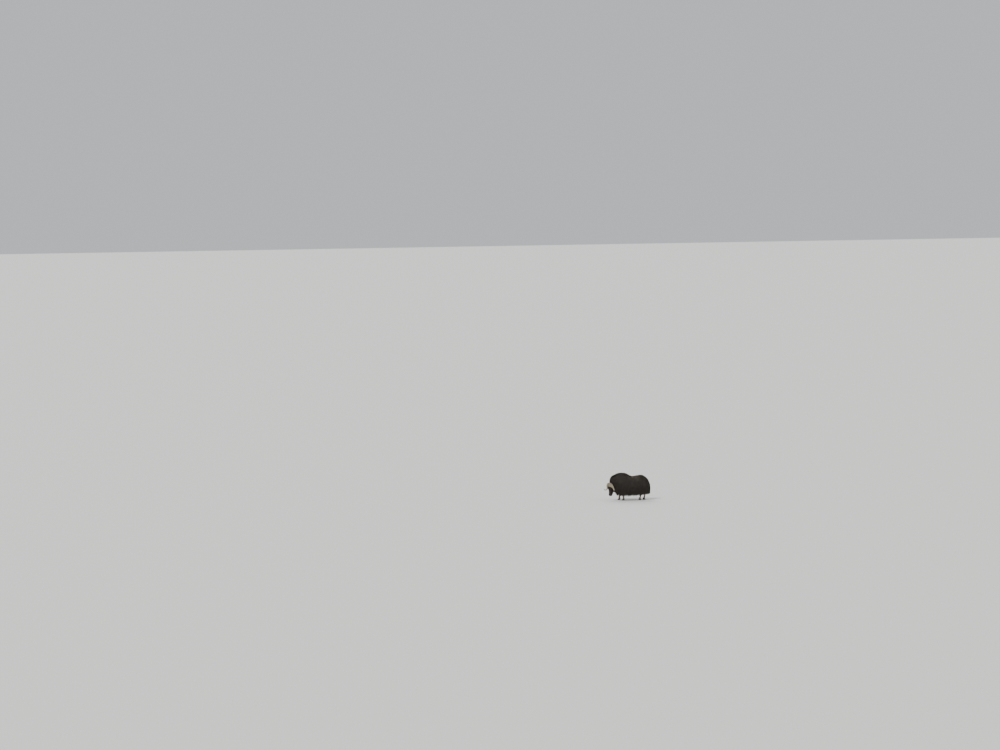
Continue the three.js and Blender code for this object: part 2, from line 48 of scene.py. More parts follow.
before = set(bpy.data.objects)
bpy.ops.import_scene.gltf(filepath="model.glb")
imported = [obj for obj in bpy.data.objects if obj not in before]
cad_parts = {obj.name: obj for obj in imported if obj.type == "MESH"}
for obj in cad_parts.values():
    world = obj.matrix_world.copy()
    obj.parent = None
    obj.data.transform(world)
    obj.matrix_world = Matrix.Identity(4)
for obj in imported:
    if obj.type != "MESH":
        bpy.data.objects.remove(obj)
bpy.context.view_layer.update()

# Body stations, from the rump to the front of the neck, in metres
STATIONS = {
    "ridge": [0.56, 0.365, 0.17, -0.03, -0.225, -0.425, -0.61],
    "top": [1.19, 1.16, 1.13, 1.236, 1.298, 1.288, 1.216],
    "out": [1.062, 0.74, 0.415, 0.093, -0.229, -0.552, -0.868],
    "lean": [0.0, 0.0, 0.0, 0.0, 0.0, -0.02, -0.08],
    "half": [0.33, 0.385, 0.405, 0.412, 0.4, 0.325, 0.215],
    "mid": [0.56, 0.56, 0.57, 0.58, 0.59, 0.64, 0.88],
    "fringe": [0.33, 0.275, 0.25, 0.24, 0.245, 0.3, 0.85],
    "belly": [0.56, 0.515, 0.495, 0.49, 0.5, 0.56, 0.72],
    "depth": [0.064, 0.064, 0.064, 0.08, 0.088, 0.088, 0.08],
}
PLAN_POWER = 0.5
HEM_TUCK = 0.94  # how far in the hanging tips are, as a share of the half width
HEM_PULL = 0.97  # the same along X
HEM_RUN = 1.05  # the drape is worked out a little past the hem, for the longest tips
LONGEST_RUN = 1.06  # where the longest locks may end
INSET_REACH = 0.25  # where the coat reaches less far than this along X, its inset there shrinks
BACK_STEPS, HANG_STEPS = 60, 24  # of the line that the drape is worked out from
TURNS, RUNS = 480, 120  # of the drape's table
LEAST_TURN, LEAST_RUN = 0.7, 1e-9  # the least metres that a whole turn and a whole run count as
COMB_BACK, COMB_ALWAYS = math.radians(62), math.radians(5)  # off straight down, at the top and everywhere
SKIN_IN_COAT, SKIN_IN_FRONT = 0.8, 0.55  # how deep the skin lies, as a share of the coat's depth

HEAD_AT = np.array([-0.815, -0.215, 0.79])
HEAD_TURN = math.radians(48)
NOSE_LIFT = math.radians(3)
HEAD_STATIONS = {
    "z": [0.034, 0.01, -0.06, -0.13, -0.2, -0.27, -0.34, -0.41, -0.475, -0.53, -0.562],
    "front": [0.03, 0.084, 0.104, 0.11, 0.106, 0.094, 0.08, 0.069, 0.062, 0.052, 0.026],
    "back": [0.03, 0.092, 0.132, 0.158, 0.166, 0.158, 0.132, 0.104, 0.084, 0.066, 0.034],
    "half": [0.04, 0.092, 0.106, 0.11, 0.106, 0.094, 0.08, 0.07, 0.068, 0.066, 0.04],
}
HEAD_SQUARE = 0.82
EYE_AT = np.array([-0.05, 0.092, -0.2])
EYE_FACING = np.array([-0.42, 0.9, 0.05]) / np.linalg.norm([-0.42, 0.9, 0.05])
EYE_RADIUS = 0.02
LID_RATIO = 1.75  # the opening's width over its height
NOSTRIL_AT = np.array([-0.056, 0.03, -0.512])
MOUTH_AT = 0.021  # along X, where the lips meet
EAR_AT = np.array([0.044, 0.142, -0.096])
EAR_LENGTHWISE = np.array([0.247, 0.926, 0.286])
EAR_ACROSS = np.array([0.0, -0.2955, 0.955])
EAR_HALF = 0.036
EAR_ROOT, EAR_TIP = -0.075, 0.062  # where the ear starts and ends along its length

# Bells on the head: height, centre on the right side and radii
HEAD_BELLS = {
    "brow": (0.016, EYE_AT + [-0.004, 0.0, 0.026], [0.034, 0.05, 0.03]),
    "under the eye": (0.01, EYE_AT + [0.008, 0.0, -0.03], [0.04, 0.05, 0.03]),
    "socket": (-0.022, EYE_AT + EYE_FACING * 0.018, [0.023, 0.023, 0.021]),
    "cheek": (0.012, [0.07, 0.1, -0.25], [0.06, 0.06, 0.085]),
    "side of the nose": (-0.009, [-0.06, 0.09, -0.3], [0.05, 0.05, 0.055]),
    "before the cheek": (-0.006, [0.01, 0.08, -0.39], [0.05, 0.05, 0.05]),
    "muzzle": (0.01, [-0.02, 0.06, -0.49], [0.05, 0.06, 0.045]),
    "nose": (0.008, [-0.066, 0.03, -0.475], [0.03, 0.026, 0.04]),
    "chin": (0.012, [0.05, 0.0, -0.53], [0.03, 0.05, 0.03]),
    "nostril": (0.009, NOSTRIL_AT + [0.0, 0.006, 0.004], [0.04, 0.022, 0.026]),
}

# The lids' section, from their edge outwards: share of the way and height over the eyeball
LID_SPREAD = np.array([0, 0.02, 0.08, 0.2, 0.4, 0.6, 0.8, 1.0])
LID_RISE = np.array([0.0016, 0.003, 0.0042, 0.005, 0.0056, 0.006, 0.006, 0.005])

HORN_LINE = np.array(
    [
        [-0.088, -0.04, -0.04],
        [-0.104, 0.022, -0.04],
        [-0.11, 0.074, -0.05],
        [-0.086, 0.132, -0.084],
        [-0.034, 0.166, -0.146],
        [-0.004, 0.188, -0.214],
        [-0.012, 0.222, -0.272],
        [-0.04, 0.272, -0.298],
        [-0.07, 0.316, -0.276],
        [-0.084, 0.336, -0.222],
    ]
)
HORN_THICK = [0.028, 0.034, 0.038, 0.036, 0.031, 0.027, 0.024, 0.019, 0.012, 0.001]
HORN_WIDE = [0.088, 0.094, 0.094, 0.076, 0.05, 0.035, 0.027, 0.02, 0.012, 0.001]
BOSS_PARTING = 0.006
HORN_CAP = 0.018  # over how much of the horn's run its start is rounded
FIBRE_COUNTS = (7, 11, 17, 23, 31, 43)  # waves round the boss
FIBRE_HEIGHT, LUMP_HEIGHT, RING_HEIGHT, HORN_SLIM = 0.0007, 0.0011, 0.0004, 0.0006

NECK_STATIONS = {
    "at": [
        [-0.4, 0.0, 0.96],
        [-0.51, -0.025, 0.88],
        [-0.61, -0.075, 0.805],
        [-0.7, -0.125, 0.72],
        [-0.77, -0.175, 0.65],
        [-0.8, -0.2, 0.615],
    ],
    "tall": [0.15, 0.24, 0.26, 0.205, 0.13, 0.07],
    "wide": [0.12, 0.165, 0.15, 0.11, 0.075, 0.04],
}
NECK_TURN = math.radians(20)
NECK_SLIM = 0.012  # how deep the skin of the neck lies in the solids

# Legs, from inside the body to the sole: height, shift along X, half length and half width
FORELEG = {
    "z": [0.76, 0.64, 0.54, 0.44, 0.33, 0.24, 0.15, 0.105, 0.062, 0.02],
    "lean": [0.03, 0.03, 0.022, 0.004, -0.004, 0.0, 0.002, 0.0, -0.004, -0.004],
    "long": [0.06, 0.1, 0.084, 0.062, 0.052, 0.037, 0.038, 0.047, 0.05, 0.04],
    "wide": [0.04, 0.066, 0.062, 0.052, 0.048, 0.035, 0.037, 0.046, 0.054, 0.04],
}
HINDLEG = {
    "z": [0.8, 0.66, 0.54, 0.43, 0.35, 0.26, 0.16, 0.105, 0.062, 0.02],
    "lean": [-0.02, -0.03, -0.006, 0.04, 0.062, 0.048, 0.022, 0.006, -0.004, -0.004],
    "long": [0.08, 0.13, 0.096, 0.062, 0.054, 0.04, 0.037, 0.046, 0.05, 0.04],
    "wide": [0.05, 0.074, 0.064, 0.046, 0.042, 0.036, 0.036, 0.045, 0.054, 0.04],
}
LEGS = {
    "front_left": (-0.215, -0.16, FORELEG),
    "front_right": (-0.4, 0.15, FORELEG),
    "hind_left": (0.545, -0.165, HINDLEG),
    "hind_right": (0.76, 0.148, HINDLEG),
}
LEG_SLIM = 0.004
TOE_TOP = 0.062
TOE_LONG, TOE_WIDE = 0.07, 0.029  # half of each, at the sole
TOE_SHORTENS, TOE_NARROWS = 0.022, 0.003  # by how much up to the top
TOE_AHEAD, TOE_LEAN = 0.012, 0.0132  # how far before the leg's middle, and back from there at the top
TOE_APART = 0.0315  # between the middle of the leg and of each toe, at the sole
TOE_SQUARE = 0.8
TOE_FLATTER = 0.86  # the half length behind and the half width on the inside, over the other half's
DEWCLAW_AT = np.array([0.037, 0.021, 0.106])  # behind and beside the middle of the leg, and its height

BODY_VOXEL, LEG_VOXEL = 0.0152, 0.0069
BODY_SMOOTHING, LEG_SMOOTHING = 6, 4
# The skin under the body's coat is darkened as painted shade, standing for the shade deep in the coat
PAINTED_COAT_SHADE, LID_SHADE = 0.5, 0.6  # how dark the skin under the coat and the lids are
HORN_SEED = 5
SADDLE_AT, SADDLE_REACH = 0.27, 0.25  # along X, for the colours
HUMP_AT, HUMP_REACH = -0.28, 0.3
SKIRT_LOW, SKIRT_HIGH = 0.35, 0.85
STOCKING_LOW, STOCKING_HIGH = 0.3, 0.47

# How many rings each form has, and how many points are on each ring
GRIDS = {
    "neck": (30, 40),
    "leg": (60, 36),
    "ear": (40, 48),
    "horn": (150, 108),
    "eye": (36, 56),
    "toe": (32, 56),
    "dewclaw": (18, 24),
}

PATCH = 0.003  # how large each tuft's patch is in the unwrap
TUFT_FLATNESS = 0.25  # a tuft's thickness over its width
ROUNDNESS = 0.7  # how far the normals of a tuft's two edges lean apart
TUFT_ROLL = 0.45  # how far a tuft may turn about its own length, in radians
LOCK_RADIUS = 0.036  # how far the tufts of a lock are spread at its root
CREST_NAPE = 60  # how many points of the crest's line lie on the nape

# How many locks or tufts are drawn for each part of the coat. Some of the poll's and face's are left out
CREST_LOCKS, THROAT_LOCKS, BEARD_LOCKS = 500, 570, 360
WOOL_TUFTS, NAPE_TUFTS, POLL_TUFTS, FACE_TUFTS = 5000, 3000, 7800, 26000
LEG_TUFTS, EAR_TUFTS, LASHES = 4400, 2400, 90  # for each leg, ear and lid
CREST_TUFTS, HANGING_TUFTS = 12, 11  # in each lock
FACE_WIDTH, LEG_WIDTH, LASH_WIDTH = 0.0021, 0.0026, 0.0011  # of the short hairs
LASH_LENGTH = 0.015
LENGTHS = {  # the least and the greatest
    "crest": (0.11, 0.17),
    "wool": (0.07, 0.11),
    "nape": (0.08, 0.14),
    "poll": (0.04, 0.08),
    "ear": (0.008, 0.017),
}
WOOL_WIDTHS, EAR_WIDTHS = (0.018, 0.03), (0.0013, 0.0024)
THROAT_SPREAD, BEARD_SPREAD = 0.017, 0.011  # of the tufts at a hanging lock's root
HANGING_FLARE = 0.1  # how far a hanging lock goes outwards, as a share of its length
STRAY_TUFTS, STRAY_LIFT = 0.14, 0.007  # the share of tufts that leave their lock, and how far
FALLING_LOCKS = 0.3  # the share of the crest's locks that fall forwards
CREST_HALF = 0.07  # how far beside the middle line the crest's locks start
BACK_RUNS, FLANK_RUNS = (0.0, 0.42), (0.36, 0.85)  # where the body's locks have their roots
SADDLE_SHARE, HUMP_SHARE = 0.36, 0.72  # of the way from the rump to the front of the neck

# Looks that aren't settings
WET_SKIN = (0.02, 0.0155, 0.0135)
EYE_RIM, PUPIL = (0.012, 0.008, 0.006), (0.001, 0.001, 0.0015)
PUPIL_WIDE, PUPIL_HIGH, IRIS_RADIUS = 0.0072, 0.0032, 0.0122
SCUFF = (0.16, 0.14, 0.12)

# The lights: strength, spread in degrees and direction
LIGHTS = {
    "key": (2.6, 18, (0.55, 0.75, -0.9)),
    "fill": (0.9, 100, (-0.9, 0.6, -0.5)),
    "rim": (1.6, 40, (0.2, -1.0, -0.75)),
}
SKY_COLOR, SKY_STRENGTH = (0.80, 0.82, 0.85, 1), 0.75

# The camera, from the photo's frame
PHOTO_WIDTH, PHOTO_HEIGHT = 1000, 750
VIEW_ANGLE = math.radians(20)
METRES_PER_PIXEL = 0.047  # at the animal
GROUND_PIXEL = (628, 500)  # where the middle of the bull's footprint shows
HORIZON_LEFT, HORIZON_RIGHT = (340, 247), (940, 237)
SENSOR = 36  # mm
CLIP_NEAR, CLIP_FAR = 0.1, 50000
FLOOR_REACH = 20000.0

FLESH_NODES = (
    "neck shoulders barrel rump tail head ear_left ear_right "
    "leg_front_left leg_front_right leg_hind_left leg_hind_right"
).split()
SIDES = {"left": -1, "right": 1}
DOWN = np.array([0.0, 0.0, -1.0])
LEVEL = np.array([1.0, 1.0, 0.0])  # keeps a vector's level part


# Small tools


def unit(vectors):
    """Each vector over its own length."""
    return vectors / np.maximum(np.linalg.norm(vectors, axis=-1, keepdims=True), 1e-9)


def dot(a, b):
    """The dot product of each pair of vectors, as a column."""
    return np.einsum("ij,ij->i", a, b)[:, None]


def xyz(x, y, z):
    """Points from their coordinates, each an array or one number for all."""
    return np.stack(np.broadcast_arrays(x, y, z), -1)


def rings(form, first, last):
    """A form's grid of places along it by turns round it, a turn being a share of the circle."""
    along, around = GRIDS[form]
    return np.meshgrid(np.linspace(first, last, along), np.arange(around) / around, indexing="ij")


def lerp(a, b, share):
    return a + (b - a) * share


def smoothstep(low, high, value):
    """0 below low, 1 above high and an S-shaped rise between them."""
    share = np.clip((value - low) / (high - low), 0, 1)
    return share * share * (3 - 2 * share)


def bell(distance, radius):
    """1 at no distance, falling as a bell that is down to 0.37 at the radius."""
    return np.exp(-((distance / radius) ** 2))


def signed_power(value, exponent):
    return np.sign(value) * np.abs(value) ** exponent


def spline(values, share):
    """A uniform Catmull-Rom curve through the values, at shares from 0 to 1 of its stations."""
    values = np.asarray(values, float)
    last = len(values) - 1
    place = np.clip(share, 0, 1) * last
    i = np.minimum(np.asarray(place).astype(int), last - 1)
    w = np.asarray(place - i)
    before, here = values[np.maximum(i - 1, 0)], values[i]
    ahead, after = values[i + 1], values[np.minimum(i + 2, last)]
    if values.ndim > 1:
        w = w[..., None]
    leave, arrive = (ahead - before) / 2, (after - here) / 2
    cubic = (2 * here - 2 * ahead + leave + arrive) * w**3
    return cubic + (3 * ahead - 3 * here - 2 * leave - arrive) * w**2 + leave * w + here


def turned(angle, axis):
    return np.array(Matrix.Rotation(angle, 3, axis))


HEAD_AXES = turned(HEAD_TURN, "Z") @ turned(NOSE_LIFT, "Y")


def from_head(points):
    """Points of the head's own frame, whose face looks to -X, in the bull's frame."""
    return points @ HEAD_AXES.T + HEAD_AT


def sided(points, side):
    """The right side's points, mirrored to the left for a side of -1."""
    return points * np.array([1.0, side, 1.0])


def folded(points):
    """Points with those of the left side mirrored to the right."""
    return xyz(points[..., 0], np.abs(points[..., 1]), points[..., 2])


def distance_to(points, centre):
    """How far points of the head are from a place on its right side, or from that place's mirror image."""
    return np.linalg.norm(folded(points) - centre, axis=-1)


def frame_shift():
    """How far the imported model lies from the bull's own frame, measured at the left eye."""
    low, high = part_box("eye_left")
    return (np.array(low) + np.array(high)) / 2 - from_head(sided(EYE_AT, -1))


SHIFT = frame_shift()


# Meshes


def add_mesh(name, points, faces, attributes=None, uv=None, normals=None):
    """An object at the origin, from points and triangles, with values and normals for each point."""
    mesh = bpy.data.meshes.new(name)
    points = np.asarray(points, np.float32) + SHIFT.astype(np.float32)
    faces = np.asarray(faces, np.int32)
    mesh.vertices.add(len(points))
    mesh.vertices.foreach_set("co", points.ravel())
    mesh.loops.add(faces.size)
    mesh.loops.foreach_set("vertex_index", faces.ravel())
    mesh.polygons.add(len(faces))
    mesh.polygons.foreach_set("loop_start", np.arange(0, faces.size, 3, dtype=np.int32))
    for key, values in (attributes or {}).items():
        single = values.ndim == 1
        if not single:
            values = np.concatenate([values, np.ones((len(values), 1))], axis=1)
        layer = mesh.attributes.new(key, "FLOAT" if single else "FLOAT_COLOR", "POINT")
        layer.data.foreach_set("value" if single else "color", values.astype(np.float32).ravel())
    if uv is not None:
        layer = mesh.uv_layers.new(name="OFBake")
        layer.uv.foreach_set("vector", uv[faces.ravel()].astype(np.float32).ravel())
    mesh.update(calc_edges=True)
    mesh.validate()
    mesh.shade_smooth()
    if normals is not None:
        mesh.normals_split_custom_set_from_vertices(normals)
    piece = bpy.data.objects.new(name, mesh)
    bpy.context.scene.collection.objects.link(piece)
    return piece


def outward(points, faces):
    """The same closed surface with its faces turned to point out, judged by its signed volume."""
    a, b, c = (points[faces[:, i]] for i in range(3))
    volume = np.einsum("ij,ij->i", a, np.cross(b, c)).sum()
    return points, faces if volume > 0 else faces[:, ::-1]


def walls_between(rows, around, closed=False):
    """Triangles that join each ring of a grid to the next one, and the last to the first if closed."""
    row, k = np.meshgrid(np.arange(rows - (not closed)), np.arange(around), indexing="ij")
    a, b = row * around + k, row * around + (k + 1) % around
    c, d = ((corner + around) % (rows * around) for corner in (b, a))
    return np.concatenate([np.stack(corners, -1).reshape(-1, 3) for corners in ((a, b, c), (a, c, d))])


def closed_loft(grid):
    """Points and triangles of a grid of rings, each ring closed and both ends drawn to their middles."""
    rows, around = grid.shape[:2]
    points = np.concatenate([grid.reshape(-1, 3), [grid[0].mean(0), grid[-1].mean(0)]])
    k = np.arange(around)
    after, base = (k + 1) % around, (rows - 1) * around
    foot = np.stack([np.full(around, rows * around), after, k], -1)
    top = np.stack([np.full(around, rows * around + 1), base + k, base + after], -1)
    return outward(points, np.concatenate([walls_between(rows, around), foot, top]))


def merged(parts):
    """Several (points, faces) pairs as one."""
    starts = np.cumsum([0] + [len(points) for points, _ in parts[:-1]])
    faces = [some_faces + start for (_, some_faces), start in zip(parts, starts)]
    return np.concatenate([points for points, _ in parts]), np.concatenate(faces)


def remeshed(parts, voxel, smoothing):
    """The outer surface of several closed forms that overlap, by a voxel remesh, with its steps smoothed."""
    piece = add_mesh("form", *merged(parts))
    remesh = piece.modifiers.new("voxels", "REMESH")
    remesh.mode, remesh.voxel_size = "VOXEL", voxel
    smooth = piece.modifiers.new("smooth", "SMOOTH")
    smooth.factor, smooth.iterations = 0.5, smoothing
    bpy.context.view_layer.update()
    mesh = bpy.data.meshes.new_from_object(piece.evaluated_get(bpy.context.evaluated_depsgraph_get()))
    mesh.calc_loop_triangles()
    points = np.empty(len(mesh.vertices) * 3, np.float32)
    faces = np.empty(len(mesh.loop_triangles) * 3, np.int32)
    mesh.vertices.foreach_get("co", points)
    mesh.loop_triangles.foreach_get("vertices", faces)
    bpy.data.objects.remove(piece)
    bpy.data.meshes.remove(mesh)
    return points.reshape(-1, 3).astype(float) - SHIFT, faces.reshape(-1, 3)


def dress(piece, material, replaces=()):
    """Gives a finished piece its material and its body, and hides what it stands for."""
    piece.data.materials.append(material)
    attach(piece, "root")
    if replaces:
        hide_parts(*replaces)


# The drape, the outside of the body's coat


def meridian(turn):
    """The stations' values at a turn round the body: 0 is the rump, 0.25 the left side, 0.5 the neck."""
    turn = np.asarray(turn) % 1
    angle = 2 * np.pi * np.where(turn > 0.5, 1 - turn, turn)
    at = {key: spline(values, (1 - np.cos(angle)) / 2) for key, values in STATIONS.items()}
    at["rim"] = np.where(turn > 0.5, 1.0, -1.0) * np.maximum(np.sin(angle), 0) ** PLAN_POWER
    return at


def body_share(turn):
    """0 at the rump and 1 at the front of the neck."""
    return (1 - np.cos(2 * np.pi * turn)) / 2


def skin_depth(turn):
    """How deep the skin lies in the coat: most of the coat's depth, but less at the front of the neck."""
    front = smoothstep(0.85, 1.0, body_share(turn))
    return meridian(turn)["depth"] * lerp(SKIN_IN_COAT, SKIN_IN_FRONT, front)


def over_back(at, angle, inset=0.0):
    """A quarter ellipse from the top line, at angle 0, to the widest line, at a right angle."""
    pull = np.minimum(np.abs(at["out"] - at["ridge"]) / INSET_REACH, 1)
    out_x = at["out"] - np.sign(at["out"] - at["ridge"]) * inset * pull
    out_y = at["lean"] + at["rim"] * (at["half"] - inset)
    reach = np.sin(angle)
    height = at["mid"] + (at["top"] - inset - at["mid"]) * np.cos(angle)
    return xyz(lerp(at["ridge"], out_x, reach), lerp(at["lean"], out_y, reach), height)


def drape_table():
    """The drape's points on a grid of turns and runs, a run being a share of the way to the hem.

    Each turn's line goes over the back and then hangs to the hem and on past it, a little drawn in.
    """
    at = meridian(np.linspace(0, 1, TURNS + 1)[:, None])
    back = over_back(at, np.linspace(0, np.pi / 2, BACK_STEPS + 1)[None, :])
    share = np.arange(1, HANG_STEPS * 5 // 4 + 1)[None, :] / HANG_STEPS
    hem_x = at["ridge"] + (at["out"] - at["ridge"]) * lerp(1, HEM_PULL, share)
    hem_y = at["lean"] + at["rim"] * at["half"] * lerp(1, HEM_TUCK, share)
    line = np.concatenate([back, xyz(hem_x, hem_y, lerp(at["mid"], at["fringe"], share))], axis=1)
    steps = np.linalg.norm(np.diff(line, axis=1), axis=-1)
    lengths = np.concatenate([np.zeros((TURNS + 1, 1)), np.cumsum(steps, axis=1)], axis=1)
    hem = lengths[:, BACK_STEPS + HANG_STEPS]
    wanted = np.linspace(0, HEM_RUN, RUNS + 1)
    table = np.empty((TURNS + 1, RUNS + 1, 3))
    for i in range(TURNS + 1):
        for axis in range(3):
            table[i, :, axis] = np.interp(wanted * hem[i], lengths[i], line[i, :, axis])
    return table, hem


DRAPE, HEM_LENGTH = drape_table()


def drape_slopes():
    """The change of the drape's points for a whole turn and for a whole run, and the way out of it."""
    by_turn = (np.roll(DRAPE[:-1], -1, axis=0) - np.roll(DRAPE[:-1], 1, axis=0)) * TURNS / 2
    by_turn = np.concatenate([by_turn, by_turn[:1]])
    by_run = np.gradient(DRAPE, HEM_RUN / RUNS, axis=1)
    out = unit(np.cross(by_turn, by_run))
    out[:, 0] = unit(-DOWN + 0.3 * out[:, 1])
    return by_turn, by_run, out


BY_TURN, BY_RUN, OUT = drape_slopes()


def on_drape(table, turn, run):
    """A table's value between its grid points, by straight lines both ways."""
    i = (turn % 1) * TURNS
    j = np.clip(run / HEM_RUN, 0, 0.9999) * RUNS
    i0, j0 = i.astype(int) % TURNS, j.astype(int)
    wi, wj = (i - np.floor(i))[..., None], (j - j0)[..., None]
    low = lerp(table[i0, j0], table[i0 + 1, j0], wi)
    high = lerp(table[i0, j0 + 1], table[i0 + 1, j0 + 1], wi)
    return lerp(low, high, wj)


def drape_metres(turn, run):
    """How many metres a whole turn and a whole run are at places of the drape, each with a least value."""
    slopes_there = (on_drape(table, turn, run) for table in (BY_TURN, BY_RUN))
    lengths = (np.linalg.norm(slope, axis=-1) for slope in slopes_there)
    return [np.maximum(length, least) for length, least in zip(lengths, (LEAST_TURN, LEAST_RUN))]


def combed(turn, run, length, steps, lean):
    """Turns and runs along hairs that are combed down the drape and back towards the rump.

    Each step goes the same way along the skin: the angle from straight down is greatest at the top line
    and dies away down the flank, and at the rump and the front of the neck, where back is outwards.
    """
    places, step = [(turn, run)], length / steps
    for _ in range(steps):
        across = unit(on_drape(BY_TURN, turn, run))[..., 0]
        angle = (COMB_BACK * (1 - smoothstep(0.0, 0.5, run)) + COMB_ALWAYS + lean) * across
        turn_metres, run_metres = drape_metres(turn, run)
        run = run + np.cos(angle) * step / run_metres
        turn = turn + np.sin(angle) * step / turn_metres
        places.append((turn, run))
    return [np.stack(values, 1) for values in zip(*places)]


# Tufts


def strands(path, out, width, roll):
    """Points, triangles, shares and normals of flat three-sided tufts, pointed at both ends.

    Each row of path is one tuft from root to tip. At every inner point stand three corners, one on each
    side and one outwards, spread by the tuft's width there and rolled about its path by its own angle.
    The normals lean out from the skin below, so that many tufts shade as one coat.
    """
    count, steps = path.shape[:2]
    ahead = unit(np.gradient(path, axis=1))
    flat = unit(np.cross(ahead, out))
    upright = np.cross(flat, ahead)
    cos, sin = np.cos(roll)[:, None, None], np.sin(roll)[:, None, None]
    inner = slice(1, -1)
    across, away = (cos * flat + sin * upright)[:, inner], (cos * upright - sin * flat)[:, inner]
    share = np.linspace(0, 1, steps)
    shape = np.interp(share, (0, 0.3, 0.65, 1), (0.6, 1, 0.8, 0.1))
    half = (width[:, None] * shape / 2)[:, inner, None]
    middle, skinward = path[:, inner], unit(out)[:, inner]
    corners = [middle - across * half, middle + across * half, middle + away * half * 2 * TUFT_FLATNESS]
    leaning = [skinward + ROUNDNESS * bend * across for bend in (-1, 1, 0)]

    def with_ends(ends, sides):
        inside = np.stack(sides, axis=2).reshape(count, -1, 3)
        return np.concatenate([ends[:, :1], inside, ends[:, -1:]], axis=1)

    points, normals = with_ends(path, corners), unit(with_ends(skinward, leaning))
    size = points.shape[1]
    faces = [[1 + k, 1 + (k + 1) % 3, 0] for k in range(3)]
    for base in range(1, size - 4, 3):
        for k in range(3):
            a, b = base + k, base + (k + 1) % 3
            faces += [[b + 3, b, a], [a + 3, b + 3, a]]
    base = size - 4
    faces += [[base + (k + 1) % 3, base + k, size - 1] for k in range(3)]
    faces = np.array(faces)[None] + (np.arange(count) * size)[:, None, None]
    along = np.concatenate([[0], np.repeat(share[inner], 3), [1]])
    corner = np.concatenate([[0.5], np.tile([0.0, 1.0, 0.5], steps - 2), [0.5]])
    return points, faces.reshape(-1, 3), along, corner, normals


def add_tufts(name, path, out, width, color, place, tone):
    """One piece of coat, with the tufts' colour, tone and shares of length and width as attributes.

    place is each root's spot on the unwrap of the skin, from 0 to 1 both ways.
    """
    roll = TUFT_ROLL * np.sin(np.arange(len(path)) * 2.4)
    points, faces, along, corner, normals = strands(path, out, width, roll)
    count, size = points.shape[:2]
    patch = np.stack([corner - 0.5, along - 0.5], -1) * PATCH
    uv = np.clip(place, PATCH, 1 - PATCH)[:, None] + patch[None]
    attributes = {
        "tuft_color": np.repeat(color, size, axis=0),
        "tuft_tone": np.repeat(tone, size),
        "tuft_along": np.tile(along, count),
        "tuft_across": np.tile(corner, count),
    }
    return add_mesh(name, points.reshape(-1, 3), faces, attributes, uv.reshape(-1, 2), normals.reshape(-1, 3))


# Colours of the coat, the same for skin and tufts


def body_color(points, colors):
    """The coat's colour at points of the body: pale saddle on the back, warm hump, dark skirt."""
    x, y, z = points.T
    saddle = bell(x - SADDLE_AT, SADDLE_REACH) * smoothstep(0.34, 0.14, np.abs(y)) * smoothstep(0.86, 1.02, z)
    hump = bell(x - HUMP_AT, HUMP_REACH) * smoothstep(0.9, 1.25, z)
    skirt = 1 - smoothstep(SKIRT_LOW, SKIRT_HIGH, z)
    color = lerp(colors.flank, colors.hump, hump[:, None])
    color = lerp(color, colors.saddle, (saddle * 0.9)[:, None])
    return lerp(color, colors.skirt, (skirt * 0.85)[:, None])


def off_mouth(x, z):
    """How far to the back of the line of the mouth a place on the head is, the line rising to its corner."""
    return x - MOUTH_AT + 0.012 * smoothstep(-0.46, -0.42, z)


def head_color(points, colors):
    """The face's colour in the head's frame: dark, a little redder on the brow, grey at the lips, with
    painted shade darkening the nostrils' holes and the crease where the lips meet.
    """
    x, y, z = points.T
    lips = smoothstep(-0.47, -0.54, z)
    brow = bell(np.linalg.norm(points - EYE_AT * [1, 0, 1], axis=-1), 0.14)
    # Painted shade: dark in the nostrils' holes and along the crease of the mouth, where shade falls
    nostril_shade = 1 - smoothstep(0.007, 0.014, distance_to(points, NOSTRIL_AT))
    slit = bell(off_mouth(x, z), 0.0035) * smoothstep(-0.425, -0.445, z)
    color = lerp(colors.face, colors.hump, (0.35 * brow)[:, None])
    color = lerp(color, colors.muzzle, (0.55 * lips)[:, None])
    return color * (1 - 0.9 * np.maximum(nostril_shade, slit))[:, None]


def leg_color(points, colors):
    """Pale stockings that darken to the coat's colour above the knee and hock."""
    above = smoothstep(STOCKING_LOW, STOCKING_HIGH, points[:, 2])
    return lerp(colors.stocking, colors.skirt, above[:, None])


# Forms under the coat


def stations_at(stations, share):
    """Each value of a table of stations, at shares from 0 to 1 of it."""
    return {key: spline(values, share) for key, values in stations.items()}


def body_form():
    """The flesh under the coat: the drape drawn in by most of the coat's depth, and closed below."""
    turn = np.arange(120)[:, None] / 120
    at, inset = meridian(turn), skin_depth(turn)
    back = over_back(at, np.linspace(0.03, np.pi / 2, 26)[None, :], inset)
    under = np.linspace(0, np.pi / 2, 16)[None, 1:-1]
    middle, rim = xyz(at["ridge"], at["lean"], at["mid"]), over_back(at, np.pi / 2, inset)
    below = lerp(middle, rim, np.cos(under)[..., None])
    below[..., 2] = lerp(at["mid"], np.minimum(at["belly"], at["mid"] - 0.02), np.sin(under))
    return closed_loft(np.swapaxes(np.concatenate([back, below], axis=1), 0, 1))


def neck_at(run, turn, slim=0.0):
    """A point of the neck: an upright ellipse carried along its line, drawn in by slim metres."""
    across = np.array([-math.sin(NECK_TURN), math.cos(NECK_TURN), 0])
    at, angle = stations_at(NECK_STATIONS, run), 2 * np.pi * turn
    point = at["at"] + across * ((at["wide"] - slim) * np.sin(angle))[..., None]
    return point - DOWN * ((at["tall"] - slim) * np.cos(angle))[..., None]


def neck_form():
    return closed_loft(neck_at(*rings("neck", 0.02, 0.98), NECK_SLIM))


